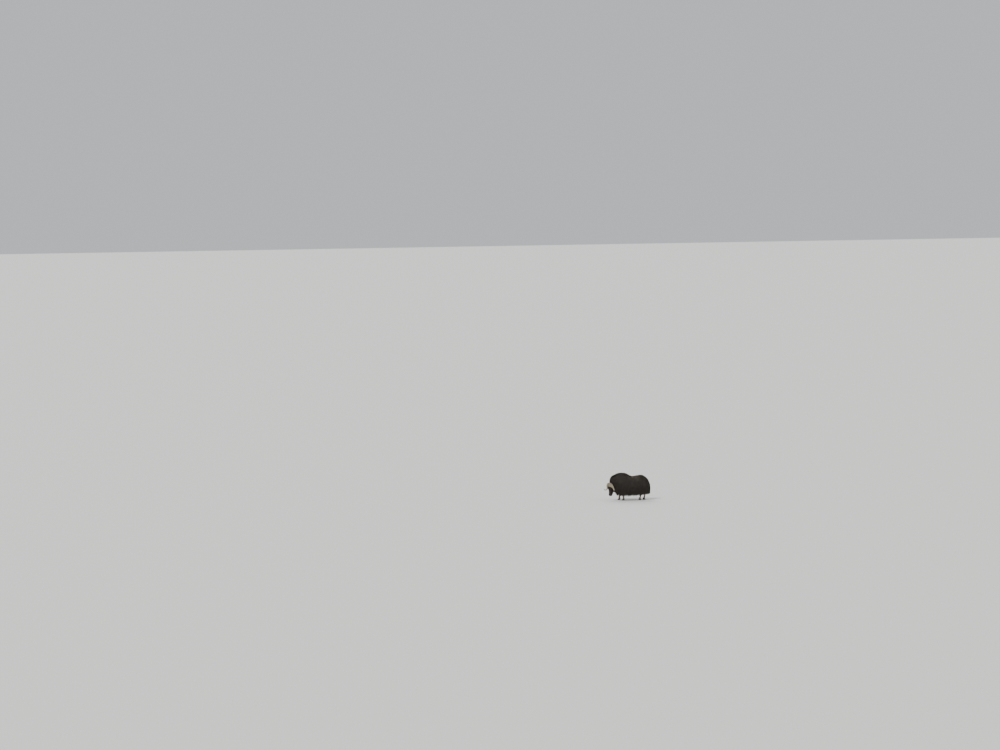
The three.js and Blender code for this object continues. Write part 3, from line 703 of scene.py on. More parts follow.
def leg_at(leg, run, turn):
    """A point of a leg: an ellipse carried down its line, with the tendon's groove behind the shin."""
    x, y, line = leg
    at, angle = stations_at(line, run), 2 * np.pi * turn
    shin = bell(at["z"] - 0.21, 0.07)
    groove = 1 - 0.14 * shin * bell(np.abs(np.sin(angle)) - 0.75, 0.25) * (np.cos(angle) > 0)
    long, wide = ((at[key] - LEG_SLIM) * groove for key in ("long", "wide"))
    return xyz(x + at["lean"] + long * np.cos(angle), y + wide * np.sin(angle), at["z"])


def leg_form(leg):
    return closed_loft(leg_at(leg, *rings("leg", 0.01, 0.97)))


def head_base(turn, run):
    """A point of the head's plain form: a squared oval, deeper at the back, carried down to the nose."""
    at, angle = stations_at(HEAD_STATIONS, run), 2 * np.pi * turn
    reach = np.where(np.cos(angle) > 0, at["back"], at["front"])
    x, y = (signed_power(wave(angle), HEAD_SQUARE) for wave in (np.cos, np.sin))
    return xyz(x * reach, y * at["half"], at["z"])


def head_relief(points):
    """How far the head's surface stands out or in, in metres, from its plain form.

    Bells stand out for the orbits, cheeks, muzzle, nose and chin, and go in for the eyes' sockets and the
    hollows before the cheeks. The nostrils are slots with a wing, with a groove down between them, and the
    mouth is a narrow groove between two lips up each side of the muzzle.
    """
    right = folded(points)
    x, y, z = np.moveaxis(right, -1, 0)

    def near(centre, radii, steepness=1):
        return np.exp(-((((right - centre) / radii) ** 2).sum(-1) ** steepness))

    relief = sum(height * near(centre, radii) for height, centre, radii in HEAD_BELLS.values())
    slot = near(NOSTRIL_AT, [0.04, 0.0115, 0.014], 2)
    wing = near(NOSTRIL_AT + [0.004, 0.013, 0.012], [0.04, 0.009, 0.0065], 2)
    relief -= 0.022 * np.maximum(slot, 0.7 * wing)
    relief -= 0.004 * bell(y, 0.004) * smoothstep(-0.5, -0.52, z) * (x < 0)
    relief -= 0.01 * bell(off_mouth(x, z), 0.0032) * smoothstep(-0.425, -0.445, z)
    lips = bell(np.abs(off_mouth(x, z)) - 0.009, 0.006) * smoothstep(-0.44, -0.47, z)
    return relief + 0.004 * lips


def slopes(function, a, b, step=1e-3):
    """How a surface's points change with each of its two parameters, by differences."""
    return function(a + step, b) - function(a - step, b), function(a, b + step) - function(a, b - step)


def surface_normals(function, a, b, away):
    """The normals of a surface of two parameters, on the side that away points to."""
    out = unit(np.cross(*slopes(function, a, b)))
    return out * np.sign(dot(out, away))


def head_surface(turn, run):
    """The head's finished surface: the plain form moved out along its own normal by the relief."""
    base = head_base(turn, run)
    by_turn, by_run = slopes(head_base, turn, run)
    out = unit(np.cross(by_run, by_turn))
    return base + out * head_relief(base)[..., None], out


def uneven(count, closer, amount):
    """Shares from 0 to 1 that crowd together near the given places, each with a width."""
    fine = np.linspace(0, 1, 2001)
    density = 1 + sum(amount * bell(fine - place, width) for place, width in closer)
    total = np.concatenate([[0], np.cumsum((density[1:] + density[:-1]) / 2)])
    return np.interp(np.linspace(0, 1, count) * total[-1], total, fine)


def head_form():
    """The head as rings that crowd together at the eyes, the nostrils and the mouth."""
    around = uneven(201, [(0.36, 0.05), (0.64, 0.05), (0.5, 0.03), (0.24, 0.02), (0.76, 0.02)], 1.6)[:-1]
    down = uneven(190, [(0.41, 0.04), (0.88, 0.08)], 1.5)
    run, turn = np.meshgrid(np.clip(down, 0.004, 0.998), around, indexing="ij")
    return closed_loft(head_surface(turn, run)[0])


def eye_axes(side):
    """The way the eye faces, the way its slit runs and the way up across it, in the head's frame."""
    facing = sided(EYE_FACING, side)
    slit = unit(np.cross([0.1, 0.0, 1.0], facing))
    return facing, slit, np.cross(facing, slit)


def around_eye(side, s, angle):
    """The ways from the eye's centre at angles from its facing, with the ways across it at angles s."""
    facing, slit, up = eye_axes(side)
    across = np.cos(s)[..., None] * slit + np.sin(s)[..., None] * up
    return np.cos(angle)[..., None] * facing + np.sin(angle)[..., None] * across, across


def lid_angle(s):
    """How far from the middle of the eye the lids' edge lies, as an almond wider than high."""
    pinch = 1 - 0.3 * np.abs(np.cos(s)) ** 3
    return np.radians(60) / np.sqrt(np.cos(s) ** 2 + (np.sin(s) * LID_RATIO / pinch) ** 2)


def lid_form(side):
    """Both lids as one ring of skin round the eyeball, thick at its rim, its outer edge sunk in the head."""
    s = np.arange(72) / 72 * 2 * np.pi
    opened = lerp(lid_angle(s)[None], np.radians(105), LID_SPREAD[:, None])
    raised = EYE_RADIUS + LID_RISE[:, None] + 0.0015 * np.abs(np.sin(s))[None]
    reach = np.concatenate([raised, np.full_like(opened, EYE_RADIUS + 0.0006)])
    direction = around_eye(side, s, np.concatenate([opened, opened[::-1]]))[0]
    grid = sided(EYE_AT, side) + direction * reach[..., None]
    return outward(grid.reshape(-1, 3), walls_between(*grid.shape[:2], closed=True))


def ear_form(side):
    """A leaf-shaped ear: a thin oval section, bent to a cup that opens forwards, carried to the tip."""
    run, turn = rings("ear", 0.0, 1.0)
    wide = EAR_HALF * np.sin(np.pi * np.clip(0.16 + 0.84 * run, 0, 1)) ** 0.7
    w, depth = np.cos(2 * np.pi * turn), np.sin(2 * np.pi * turn)
    thick = 0.0045 + 0.012 * (1 - run) ** 3
    cupped = -0.02 * (w**2 - 0.6) * (1 - 0.4 * run) - 0.012 * run**2
    bent = depth * thick - cupped * wide / EAR_HALF
    grid = EAR_AT + EAR_LENGTHWISE * lerp(EAR_ROOT, EAR_TIP, run)[..., None]
    grid = grid + EAR_ACROSS * (w * wide)[..., None]
    forwards = unit(np.cross(EAR_ACROSS, EAR_LENGTHWISE))
    return closed_loft(sided(grid + forwards * bent[..., None], side))


# Horns, eyes and hooves


def horn_at(run, turn, swell):
    """A point of the right horn: an oval that is flat and broad at the boss, carried along its line."""
    middle = spline(HORN_LINE, run)
    ahead = unit(spline(HORN_LINE, run + 0.004) - spline(HORN_LINE, run - 0.004))
    pull = lerp(1.0, 0.4, smoothstep(0.25, 0.55, run))
    away = unit(xyz(middle[..., 0] * pull, middle[..., 1], 0))
    across = unit(np.cross(ahead, away))
    out = unit(np.cross(across, ahead))
    angle = 2 * np.pi * turn
    thick, wide = (spline(values, run) + swell for values in (HORN_THICK, HORN_WIDE))
    return middle + out * (thick * np.cos(angle))[..., None] + across * (wide * np.sin(angle))[..., None]


def horn_form(side, rng):
    """The horn with the boss's rough fibres, which run along it and fade towards the smooth tip.

    With its points and faces come the places of the points round and along it, for the finish.
    """
    inner = np.linspace(0, 0.2, 200)
    start = np.interp(BOSS_PARTING, spline(HORN_LINE, inner)[:, 1], inner)
    share, turn = rings("horn", 0, 1)
    run = start + (1 - start) * share**1.15
    cap = np.clip((run - start) / HORN_CAP, 0, 1)
    fibres = sum(
        rng.uniform(0.3, 1) * np.sin(2 * np.pi * (turn * k + rng.uniform() + 0.15 * np.sin(run * 9 + k)))
        for k in FIBRE_COUNTS
    )
    growth = np.sin(run * 150 + 1.5 * np.sin(turn * 12)) * smoothstep(0.2, 0.35, run)
    growth *= 1 - smoothstep(0.5, 0.75, run)
    boss = 1 - smoothstep(0.22, 0.6, run)
    lumps = np.sin(turn * 38 + 5 * np.sin(run * 14)) * np.sin(run * 46 + 3 * np.cos(turn * 19))
    swell = (FIBRE_HEIGHT * fibres + LUMP_HEIGHT * lumps) * boss + RING_HEIGHT * growth - HORN_SLIM
    centre = spline(HORN_LINE, run)
    grid = centre + (horn_at(run, turn, swell) - centre) * np.sqrt(1 - (1 - cap) ** 2)[..., None]
    grid[..., 1] = np.maximum(grid[..., 1], BOSS_PARTING - 0.001)
    points, faces = closed_loft(from_head(sided(grid, side)))
    angle = 2 * np.pi * turn
    grain = xyz(np.cos(angle), np.sin(angle), run).reshape(-1, 3)
    return points, faces, np.concatenate([grain, [[0, 0, start], [0, 0, 1.0]]])


def eye_form(side):
    """The eyeball as rings from pole to pole."""
    polar, turn = rings("eye", 0.02, 0.98)
    polar, angle = polar * np.pi, turn * 2 * np.pi
    grid = xyz(np.sin(polar) * np.cos(angle), np.sin(polar) * np.sin(angle), np.cos(polar))
    return closed_loft(from_head(sided(EYE_AT, side)) + grid * EYE_RADIUS)


def toe_form(leg, side):
    """One hoof of a cloven foot: a squared oval that widens to the sole, with a rounded upper edge.

    The side that faces the other toe is flattened, and faint rings of growth go round it.
    """
    x, y, _ = leg
    rise, turn = rings("toe", 0, 1)
    c, s = np.cos(2 * np.pi * turn), np.sin(2 * np.pi * turn)
    long = (TOE_LONG - TOE_SHORTENS * rise) * np.where(c < 0, 1.0, TOE_FLATTER)
    wide = TOE_WIDE - TOE_NARROWS * rise
    inward = np.where(s * side < 0, TOE_FLATTER, 1.0)
    edge = 1 - 0.05 * (1 - smoothstep(0, 0.07, rise)) - 0.16 * smoothstep(0.88, 1.0, rise) ** 2
    growth = 1 + 0.006 * np.sin(rise * 46 + 0.6 * c) * smoothstep(0.1, 0.2, rise)
    along = x - TOE_AHEAD + rise * TOE_LEAN + long * signed_power(c, TOE_SQUARE) * edge * growth
    aside = wide * signed_power(s, TOE_SQUARE) * inward * edge * growth
    aside = y + side * (TOE_APART - TOE_NARROWS * rise) + aside
    return closed_loft(xyz(along, aside, rise * TOE_TOP))


def dewclaw_form(leg, side):
    """A small horn claw behind the foot: a tapered oval that points down and a little back."""
    x, y, _ = leg
    run, turn = rings("dewclaw", 0.03, 0.97)
    girth = np.sin(np.pi * run**0.75) ** 0.6
    angle = 2 * np.pi * turn
    behind, apart, high = DEWCLAW_AT
    along = x + behind + 0.008 * run + 0.009 * girth * np.cos(angle)
    aside = y + side * apart + 0.0095 * girth * np.sin(angle)
    return closed_loft(xyz(along, aside, high - 0.04 * run + 0.004 * girth * np.cos(angle)))


# Shader maths


class Value:
    """A socket of a node tree that can stand in a Python expression, which adds its Math nodes."""

    def __init__(self, finish, socket):
        self.finish, self.socket = finish, socket

    def math(self, operation, first, second):
        return self.finish.add("Math", 0, {0: first, 1: second}, operation=operation)

    def __add__(self, other):
        return self.math("ADD", self, other)

    def __radd__(self, other):
        return self.math("ADD", other, self)

    def __sub__(self, other):
        return self.math("SUBTRACT", self, other)

    def __rsub__(self, other):
        return self.math("SUBTRACT", other, self)

    def __mul__(self, other):
        return self.math("MULTIPLY", self, other)

    def __rmul__(self, other):
        return self.math("MULTIPLY", other, self)


class Finish:
    """A material with one Principled shader, and a method that adds any other node."""

    def __init__(self, name, **constants):
        self.material = bpy.data.materials.new(name)
        self.material.use_nodes = True
        tree = self.material.node_tree
        self.nodes, self.links = tree.nodes, tree.links
        self.sockets = self.nodes["Principled BSDF"].inputs
        self.feed(**constants)

    def add(self, kind, output, sockets=None, stops=(), **settings):
        """A node of one kind: its settings and its ramp's stops, then its sockets' values or links."""
        node = self.nodes.new(f"ShaderNode{kind}")
        for key, value in settings.items():
            setattr(node, key, value)
        for i, (place, color) in enumerate(stops):
            stop = node.color_ramp.elements[i]
            stop.position, stop.color = place, (*color, 1)
        for key, value in (sockets or {}).items():
            self.join(value, node.inputs[key])
        return Value(self, node.outputs[output])

    def join(self, value, socket):
        if isinstance(value, Value):
            self.links.new(value.socket, socket)
        elif hasattr(value, "__len__"):
            socket.default_value = (*value, 1)[: len(socket.default_value)]
        else:
            socket.default_value = value

    def attribute(self, name, output):
        return self.add("Attribute", output, attribute_name=name)

    def place(self):
        return self.add("TexCoord", "Object")

    def noise(self, scale, detail=3.0, where=None, roughness=0.5):
        sockets = {"Vector": where or self.place(), "Scale": scale, "Detail": detail, "Roughness": roughness}
        return self.add("TexNoise", "Fac", sockets)

    def drawn_out(self, scale, detail):
        """Noise with its own scale along each axis, so that it makes streaks."""
        where = self.add("Mapping", "Vector", {"Vector": self.place(), "Scale": scale})
        return self.noise(1.0, detail, where)

    def shades(self, value, dark, light):
        """A grey from a ramp between two stops, each a place and a colour."""
        return self.add("ValToRGB", 0, {"Fac": value}, (dark, light))

    def mix(self, factor, a, b, blend="MIX"):
        return self.add("Mix", 2, {0: factor, 6: a, 7: b}, data_type="RGBA", blend_type=blend)

    def band(self, value, low, high):
        """0 below low and 1 above high."""
        sockets = {"Value": value, "From Min": low, "From Max": high}
        return self.add("MapRange", 0, sockets, interpolation_type="SMOOTHSTEP")

    def bump(self, height, strength, distance):
        sockets = {"Height": height, "Strength": strength, "Distance": distance}
        self.feed(Normal=self.add("Bump", "Normal", sockets))

    def feed(self, **values):
        for name, value in values.items():
            self.join(value, self.sockets[name.replace("_", " ")])
        return self.material


def hair_finish(name, colors, gloss, shade):
    """Hair: the tuft's own colour, darker at the root, bleached at the tip and varied from tuft to tuft.

    Fine streaks run along each tuft in its colour and its bump, so that it reads as many hairs.
    """
    finish = Finish(name, Specular_IOR_Level=0.28, Sheen_Weight=0.05, Sheen_Roughness=0.5)
    along, across, tone = (finish.attribute(f"tuft_{key}", "Fac") for key in ("along", "across", "tone"))
    own = finish.attribute("tuft_color", "Color")
    lengthwise = finish.add("CombineXYZ", 0, {0: across * 5.5, 1: along * 2.2, 2: tone * 60.0})
    streaks = finish.noise(1.0, 2.0, lengthwise)
    root = finish.mix(finish.band(along, 0.0, 0.55), finish.mix(shade, own, (0.0, 0.0, 0.0)), own)
    tipped = finish.mix(finish.band(along, 0.6, 1.0) * tone * 0.55, root, colors.bleached)
    mottle = tone * 0.3 + finish.noise(9.0) * 0.3 + streaks * 0.4
    light = finish.shades(mottle, (0.2, (0.5, 0.48, 0.47)), (0.8, (1.6, 1.56, 1.48)))
    finish.bump(streaks, 0.5, 0.0008)
    color = finish.mix(1.0, tipped, light, "MULTIPLY")
    return finish.feed(Base_Color=color, Roughness=finish.band(along, 0.0, 1.0) * -0.12 + gloss)


def skin_finish():
    """Short hair lying down the limbs and face: fine streaks in colour and bump over the region's colour."""
    finish = Finish("muskox_skin", Specular_IOR_Level=0.3, Sheen_Weight=0.1, Sheen_Roughness=0.5)
    own, wet = finish.attribute("region_color", "Color"), finish.attribute("region_wet", "Fac")
    streaks = finish.drawn_out((800.0, 800.0, 120.0), 3.0)
    mottle = streaks * 0.6 + finish.noise(26.0) * 0.4
    shade = finish.shades(mottle, (0.25, (0.55, 0.53, 0.52)), (0.8, (1.45, 1.42, 1.36)))
    leather = finish.add("TexVoronoi", "Distance", {"Vector": finish.place(), "Scale": 520.0})
    color = finish.mix(wet, finish.mix(1.0, own, shade, "MULTIPLY"), WET_SKIN)
    finish.bump(streaks * (1 - wet) + leather * wet * 0.5, 0.9, 0.002)
    return finish.feed(Base_Color=color, Roughness=0.8 - wet * 0.32)


def horn_finish(colors):
    """Horn: a pale fibrous boss, cracked along the fibres, that turns smooth and dark at the tip."""
    finish = Finish("muskox_horn", Specular_IOR_Level=0.45)
    grain = finish.attribute("horn_grain", "Vector")
    along = finish.add("SeparateXYZ", "Z", {0: grain})

    def fibres(across, lengthwise, detail):
        scale = (across, across, lengthwise)
        where = finish.add("VectorMath", 0, {0: grain, 1: scale}, operation="MULTIPLY")
        return finish.noise(1.0, detail, where, 0.6)

    coarse, fine = fibres(6.5, 8.0, 5.0), fibres(24.0, 14.0, 3.0)
    cracks = finish.band(coarse * 0.75 + fine * 0.25, 0.36, 0.52)
    pale = finish.mix(finish.band(fine, 0.3, 0.7), colors.horn_boss * 0.62, colors.horn_boss)
    boss = finish.mix(cracks, colors.horn_boss * 0.26, pale)
    grime = finish.band(finish.noise(22.0, 4.0), 0.42, 0.72) * 0.6
    boss = finish.mix(grime, boss, colors.horn_boss * 0.42)
    shaft = finish.mix(finish.band(coarse, 0.3, 0.7), colors.horn_shaft * 0.7, colors.horn_shaft)
    color = finish.mix(finish.band(along + coarse * 0.12, 0.3, 0.52), boss, shaft)
    color = finish.mix(finish.band(along + coarse * 0.06, 0.68, 0.93), color, colors.horn_tip)
    smooth = 1 - finish.band(along, 0.3, 0.85) * 0.8
    finish.bump((coarse * 0.6 + fine * 0.4) * smooth, 0.8, 0.003)
    return finish.feed(Base_Color=color, Roughness=0.72 - finish.band(along, 0.25, 0.8) * 0.36)


def eye_finish(name, side, colors):
    """A dark brown iris with a broad level pupil, under a wet gloss."""
    finish = Finish(f"muskox_eye_{name}", Specular_IOR_Level=0.25, Coat_Weight=0.6, Coat_Roughness=0.03)
    centre = from_head(sided(EYE_AT, side)) + SHIFT
    off_centre = finish.add("VectorMath", 0, {0: finish.place(), 1: centre}, operation="SUBTRACT")
    wide, high = (
        finish.add("VectorMath", "Value", {0: off_centre, 1: HEAD_AXES @ axis}, operation="DOT_PRODUCT")
        for axis in eye_axes(side)[1:]
    )
    wide, high = wide * wide, high * high
    pupil = 1 - finish.band(wide * (1 / PUPIL_WIDE**2) + high * (1 / PUPIL_HIGH**2), 0.75, 1.15)
    ring = finish.band((wide + high) * (1 / IRIS_RADIUS**2), 0.7, 1.1)
    iris = finish.mix(finish.noise(600.0, 2.0), colors.iris, colors.iris * 2.2)
    color = finish.mix(pupil, finish.mix(ring, iris, EYE_RIM), PUPIL)
    return finish.feed(Base_Color=color, Roughness=0.12)


def hoof_finish(colors):
    """Dark horn with faint growth rings, scuffed paler towards the ground."""
    finish = Finish("muskox_hoof", Specular_IOR_Level=0.4)
    height = finish.add("SeparateXYZ", "Z", {0: finish.place()})
    grain = finish.drawn_out((160.0, 160.0, 26.0), 4.0)
    scuffed = (1 - finish.band(height, 0.0, 0.03)) * grain
    color = finish.mix(grain, colors.hoof * 0.6, colors.hoof * 1.5)
    finish.bump(grain, 0.35, 0.0012)
    return finish.feed(Base_Color=finish.mix(scuffed * 0.5, color, SCUFF), Roughness=0.62 - grain * 0.2)


# Settings


def color_property(name, description, default):
    look = {"subtype": "COLOR", "size": 3, "min": 0.0, "max": 1.0}
    return FloatVectorProperty(name=name, description=description, default=default, **look)


def count_property(name, description, default, least):
    return IntProperty(name=name, description=description, default=default, min=least)


def length_property(name, description, default):
    return FloatProperty(name=name, description=description, default=default, unit="LENGTH")


class MuskoxColors(bpy.types.PropertyGroup):
    flank: color_property("Flank", "Guard hair on the neck and flanks", (0.0155, 0.0117, 0.0087))
    hump: color_property("Hump", "Hair over the shoulders", (0.0145, 0.0107, 0.0080))
    saddle: color_property("Saddle", "Short paler hair behind the hump", (0.0640, 0.0500, 0.0360))
    skirt: color_property("Skirt", "Long hair that hangs below the belly", (0.0110, 0.0084, 0.0064))
    bleached: color_property("Bleached tips", "Sun-bleached ends of the hair", (0.0700, 0.0515, 0.0350))
    face: color_property("Face", "Short hair of the face", (0.0230, 0.0150, 0.0116))
    muzzle: color_property("Muzzle", "Hair round the lips", (0.0650, 0.0560, 0.0490))
    stocking: color_property("Stocking", "Short hair of the lower legs", (0.205, 0.165, 0.125))
    horn_boss: color_property("Horn boss", "Fibrous base of the horns", (0.260, 0.222, 0.155))
    horn_shaft: color_property("Horn shaft", "Middle of the horns", (0.345, 0.305, 0.215))
    horn_tip: color_property("Horn tip", "Points of the horns", (0.030, 0.027, 0.025))
    iris: color_property("Iris", "Ring of the eye round the pupil", (0.014, 0.0070, 0.0032))
    hoof: color_property("Hoof", "Horn of the hooves", (0.030, 0.027, 0.025))
    floor: color_property("Floor", "The pale ground under the bull", (0.62, 0.61, 0.59))


class MuskoxCoat(bpy.types.PropertyGroup):
    back_locks: count_property("Back locks", "Locks on the upper body", 1350, 100)
    flank_locks: count_property("Flank locks", "Locks of the hanging skirt", 1920, 100)
    hairs: count_property("Tufts in a lock", "Tufts that make one lock", 16, 2)
    width: length_property("Tuft width", "Width of a tuft of guard hair", 0.0062)
    back_length: length_property("Back hair", "Length of the hair on the back", 0.16)
    flank_length: length_property("Flank hair", "Length of the hair on the flanks", 0.38)
    face_length: length_property("Face hair", "Length of the hair on the face", 0.012)
    seed: count_property("Seed", "Start of the random draws", 11, 0)


def settings_of(scene):
    """The settings of the coat, and the colours as arrays."""
    group = scene.muskox_colors
    colors = {name: np.array(getattr(group, name)) for name in MuskoxColors.__annotations__}
    return scene.muskox_coat, SimpleNamespace(**colors)


# The coat's tufts, each function giving a piece's paths, ways out, widths, colours, spots and tones


def tones(rng, mean, spread, count):
    """How dark or light each tuft is, from 0 to 1."""
    return np.clip(rng.normal(mean, spread, count), 0, 1)


def lock_tones(rng, mean, spread, lock):
    """The tones of tufts in locks: one draw for the lock and a smaller one for the tuft."""
    return np.clip(rng.normal(mean, spread, lock[-1] + 1)[lock] + rng.normal(0, 0.12, len(lock)), 0, 1)


def for_each_point(vectors, count):
    """Each tuft's one vector, given to all the points of its path."""
    return np.repeat(vectors[:, None], count, axis=1)


def joined(parts):
    return [np.concatenate(values) for values in zip(*parts)]


def body_coat_roots(count, rng, low, high):
    """Turns and runs of roots spread evenly over the drape between two runs."""
    run = (np.arange(RUNS) + 0.5) / RUNS * HEM_RUN
    area = np.linalg.norm(np.cross(BY_TURN[:-1, :-1], BY_RUN[:-1, :-1]), axis=-1)
    weight = area * ((run >= low) & (run <= high))
    picked = rng.choice(weight.size, count, p=(weight / weight.sum()).ravel())
    turn = (picked // RUNS + rng.uniform(size=count)) / TURNS
    return turn, (picked % RUNS + rng.uniform(size=count)) / RUNS * HEM_RUN


def body_locks(coat, colors, rng, runs, count, steps):
    """Long hair as locks: tufts that start spread out, draw together along the lock and bleach at the tip.

    A lock's middle is combed down the drape. Each of its tufts is combed from its own root, is pulled to
    the middle by a share that grows to the tip, and is lifted from the skin to its own layer of the coat.
    """
    turn, run = body_coat_roots(count, rng, *runs)
    share = body_share(turn)
    saddle = bell(share - SADDLE_SHARE, 0.16) * (1 - smoothstep(0.12, 0.3, run))
    shaggy = bell(share - HUMP_SHARE, 0.2) * (1 - smoothstep(0.1, 0.4, run))
    length = lerp(coat.back_length, coat.flank_length, smoothstep(0.08, 0.5, run))
    length = length * rng.uniform(0.85, 1.15, count) * (1 - 0.3 * saddle + 0.15 * shaggy)
    room = (LONGEST_RUN - run) * np.interp(turn % 1, np.linspace(0, 1, TURNS + 1), HEM_LENGTH)
    length = np.minimum(length, room * rng.uniform(0.8, 1.0, count))
    lean = rng.normal(0, 0.09, count) * (1 + 6 * bell(run, 0.12) * smoothstep(0.8, 1.0, share))
    centre = on_drape(DRAPE, *combed(turn, run, length, steps, lean))

    lock = np.repeat(np.arange(count), coat.hairs)
    total = len(lock)
    spread = LOCK_RADIUS * np.sqrt(rng.uniform(size=total))
    angle = rng.uniform(0, 2 * np.pi, total)
    turn_metres, run_metres = drape_metres(turn, run)
    own_turn = turn[lock] + spread * np.cos(angle) / turn_metres[lock]
    own_run = np.clip(run[lock] + spread * np.sin(angle) / run_metres[lock], 0, 0.98)
    own_length = length[lock] * rng.uniform(0.78, 1.04, total)
    places = combed(own_turn, own_run, own_length, steps, lean[lock] + rng.normal(0, 0.05, total))
    path, out, across = (on_drape(table, *places) for table in (DRAPE, OUT, BY_TURN))

    k = np.linspace(0, 1, steps + 1)[None, :]
    stray = rng.uniform(size=total) < STRAY_TUFTS
    pull = np.where(stray, 0.15, 0.7)[:, None] * k**1.3
    layer = np.clip(rng.uniform(0.0, 0.75, count)[lock] + rng.uniform(-0.1, 0.15, total), 0.02, 0.88)
    lift = lerp(-1.2, -layer[:, None], smoothstep(0.0, 0.42, k)) * skin_depth(own_turn)[:, None]
    lift = lift + (np.where(stray, STRAY_LIFT, 0.0) + 0.012 * shaggy[lock])[:, None] * k**1.5
    phase = k * rng.uniform(0.6, 1.2, (total, 1)) + rng.uniform(size=(total, 1))
    wave = np.sin(2 * np.pi * phase) * 0.005 * k
    path = lerp(path, centre[lock], pull[..., None]) + out * lift[..., None] + unit(across) * wave[..., None]
    tone = lock_tones(rng, 0.5, 0.17, lock)
    width = coat.width * rng.uniform(0.6, 1.35, total) * np.where(stray, 0.45, 1.0)
    spot = np.stack([own_turn % 1, np.clip(own_run, 0, 1)], -1)
    return path, out, width, body_color(path[:, 2], colors), spot, tone


def crest_line():
    """The middle line of the back, from low on the nape over the top line to the croup, and its lengths."""
    top = xyz(*(spline(STATIONS[key], np.linspace(1, 0, 80)) for key in ("ridge", "lean", "top")))
    nape = on_drape(DRAPE, np.full(CREST_NAPE, 0.5), np.linspace(0.85, 0, CREST_NAPE))
    croup = on_drape(DRAPE, np.zeros(20), np.linspace(0, 0.2, 20))
    line = np.concatenate([nape[:-1], top, croup[1:]])
    return line, np.concatenate([[0], np.cumsum(np.linalg.norm(np.diff(line, axis=0), axis=1))])


def crest_hair(coat, colors, rng):
    """Locks on and beside the middle line, which close the parting.

    Most lie back towards the tail, and some fall forwards over the nape. A tuft follows the line from its
    root, at its own distance to one side, which grows to the tip, and sinks with that distance as the back
    rounds off.
    """
    line, lengths = crest_line()
    k = np.linspace(0, 1, 5)[None, :]
    lock = np.repeat(np.arange(CREST_LOCKS), CREST_TUFTS)
    total = len(lock)
    front, end = lengths[CREST_NAPE - 1], lengths[-1]
    falling = rng.uniform(size=CREST_LOCKS) < FALLING_LOCKS
    on_nape = front + rng.uniform(-0.2, 0.05, CREST_LOCKS)
    root = np.where(falling, on_nape, rng.uniform(front - 0.08, end - 0.12, CREST_LOCKS))
    root = root[lock] + rng.normal(0, 0.02, total)
    heading = np.where(falling, -1.0, 1.0)[lock][:, None]
    length = rng.uniform(*LENGTHS["crest"], CREST_LOCKS)[lock] * rng.uniform(0.8, 1.05, total)
    place = np.clip(root[:, None] + heading * length[:, None] * k, 0, end)
    middle = rng.uniform(-CREST_HALF, CREST_HALF, CREST_LOCKS)[lock]
    spread = rng.normal(0, 0.016, total)
    aside = middle[:, None] * (1 + 0.5 * k) + spread[:, None] * (1 - 0.55 * k)
    path = xyz(*(np.interp(place, lengths, values) for values in line.T))
    slope = unit(np.gradient(path, axis=1))
    out = unit(np.cross(slope, [0.0, 1.0, 0.0]) * heading[..., None] + aside[..., None] * [0.0, 4.0, 0.0])
    layer = rng.uniform(0.0, 0.03, total)[:, None]
    lift = lerp(-0.09, -0.006 - layer, smoothstep(0.0, 0.35, k)) - 2.6 * aside**2
    path = path + aside[..., None] * [0.0, 1.0, 0.0] + out * lift[..., None]
    tone = lock_tones(rng, 0.5, 0.17, lock)
    width = coat.width * rng.uniform(0.6, 1.3, total)
    spot = np.stack([0.5 + aside[:, 0], root / end], -1)
    return path, out, width, body_color(path[:, 2], colors), spot, tone


def body_wool(coat, colors, rng):
    """Short broad tufts all over the body, which keep the skin from showing between the locks."""
    turn, run = body_coat_roots(WOOL_TUFTS, rng, 0.0, 0.9)
    length = rng.uniform(*LENGTHS["wool"], WOOL_TUFTS)
    places = combed(turn, run, length, 3, rng.normal(0, 0.25, WOOL_TUFTS))
    path, out = (on_drape(table, *places) for table in (DRAPE, OUT))
    lift = lerp(-1.15, -rng.uniform(0.5, 0.85, (WOOL_TUFTS, 1)), np.linspace(0, 1, 4)[None, :])
    path = path + out * (lift * skin_depth(turn)[:, None])[..., None]
    tone = rng.uniform(0.0, 0.5, WOOL_TUFTS)
    narrow = (1 - smoothstep(0.06, 0.3, run)) + smoothstep(0.8, 0.97, body_share(turn))
    width = rng.uniform(*WOOL_WIDTHS, WOOL_TUFTS) * lerp(1.0, 0.3, np.minimum(narrow, 1))
    spot = np.stack([turn % 1, np.clip(run, 0, 1)], -1)
    return path, out, width, body_color(path[:, 1], colors), spot, tone


def hanging_locks(root, out, length, coat, rng, spread):
    """Locks that leave the skin along its normal and soon hang straight down.

    A lock's path is its root plus its length along a direction that turns from outwards to down. Its tufts
    start spread out round that path and draw together along it.
    """
    lock = np.repeat(np.arange(len(root)), HANGING_TUFTS)
    total = len(lock)
    k = np.linspace(0, 1, 5)[None, :, None]
    sway = rng.normal(0, 0.06, (len(root), 1, 3)) * LEVEL + DOWN
    away = (out[:, None] * HANGING_FLARE * np.sqrt(k) + sway * k) * length[:, None, None]
    start = root[lock] + rng.normal(0, spread, (total, 3)) * [1, 1, 0.6]
    own = start[:, None] + away[lock] * rng.uniform(0.75, 1.05, (total, 1, 1))
    path = lerp(own, (root[:, None] + away)[lock], 0.6 * k**1.4)
    wave = np.sin(2 * np.pi * (k * 1.1 + rng.uniform(size=(total, 1))[..., None])) * 0.005 * k
    path = path + unit(np.cross(out, DOWN))[lock][:, None] * wave
    tone = lock_tones(rng, 0.45, 0.16, lock)
    width = coat.width * rng.uniform(0.55, 1.2, total)
    return path, for_each_point(out[lock], 5), width, lock, tone


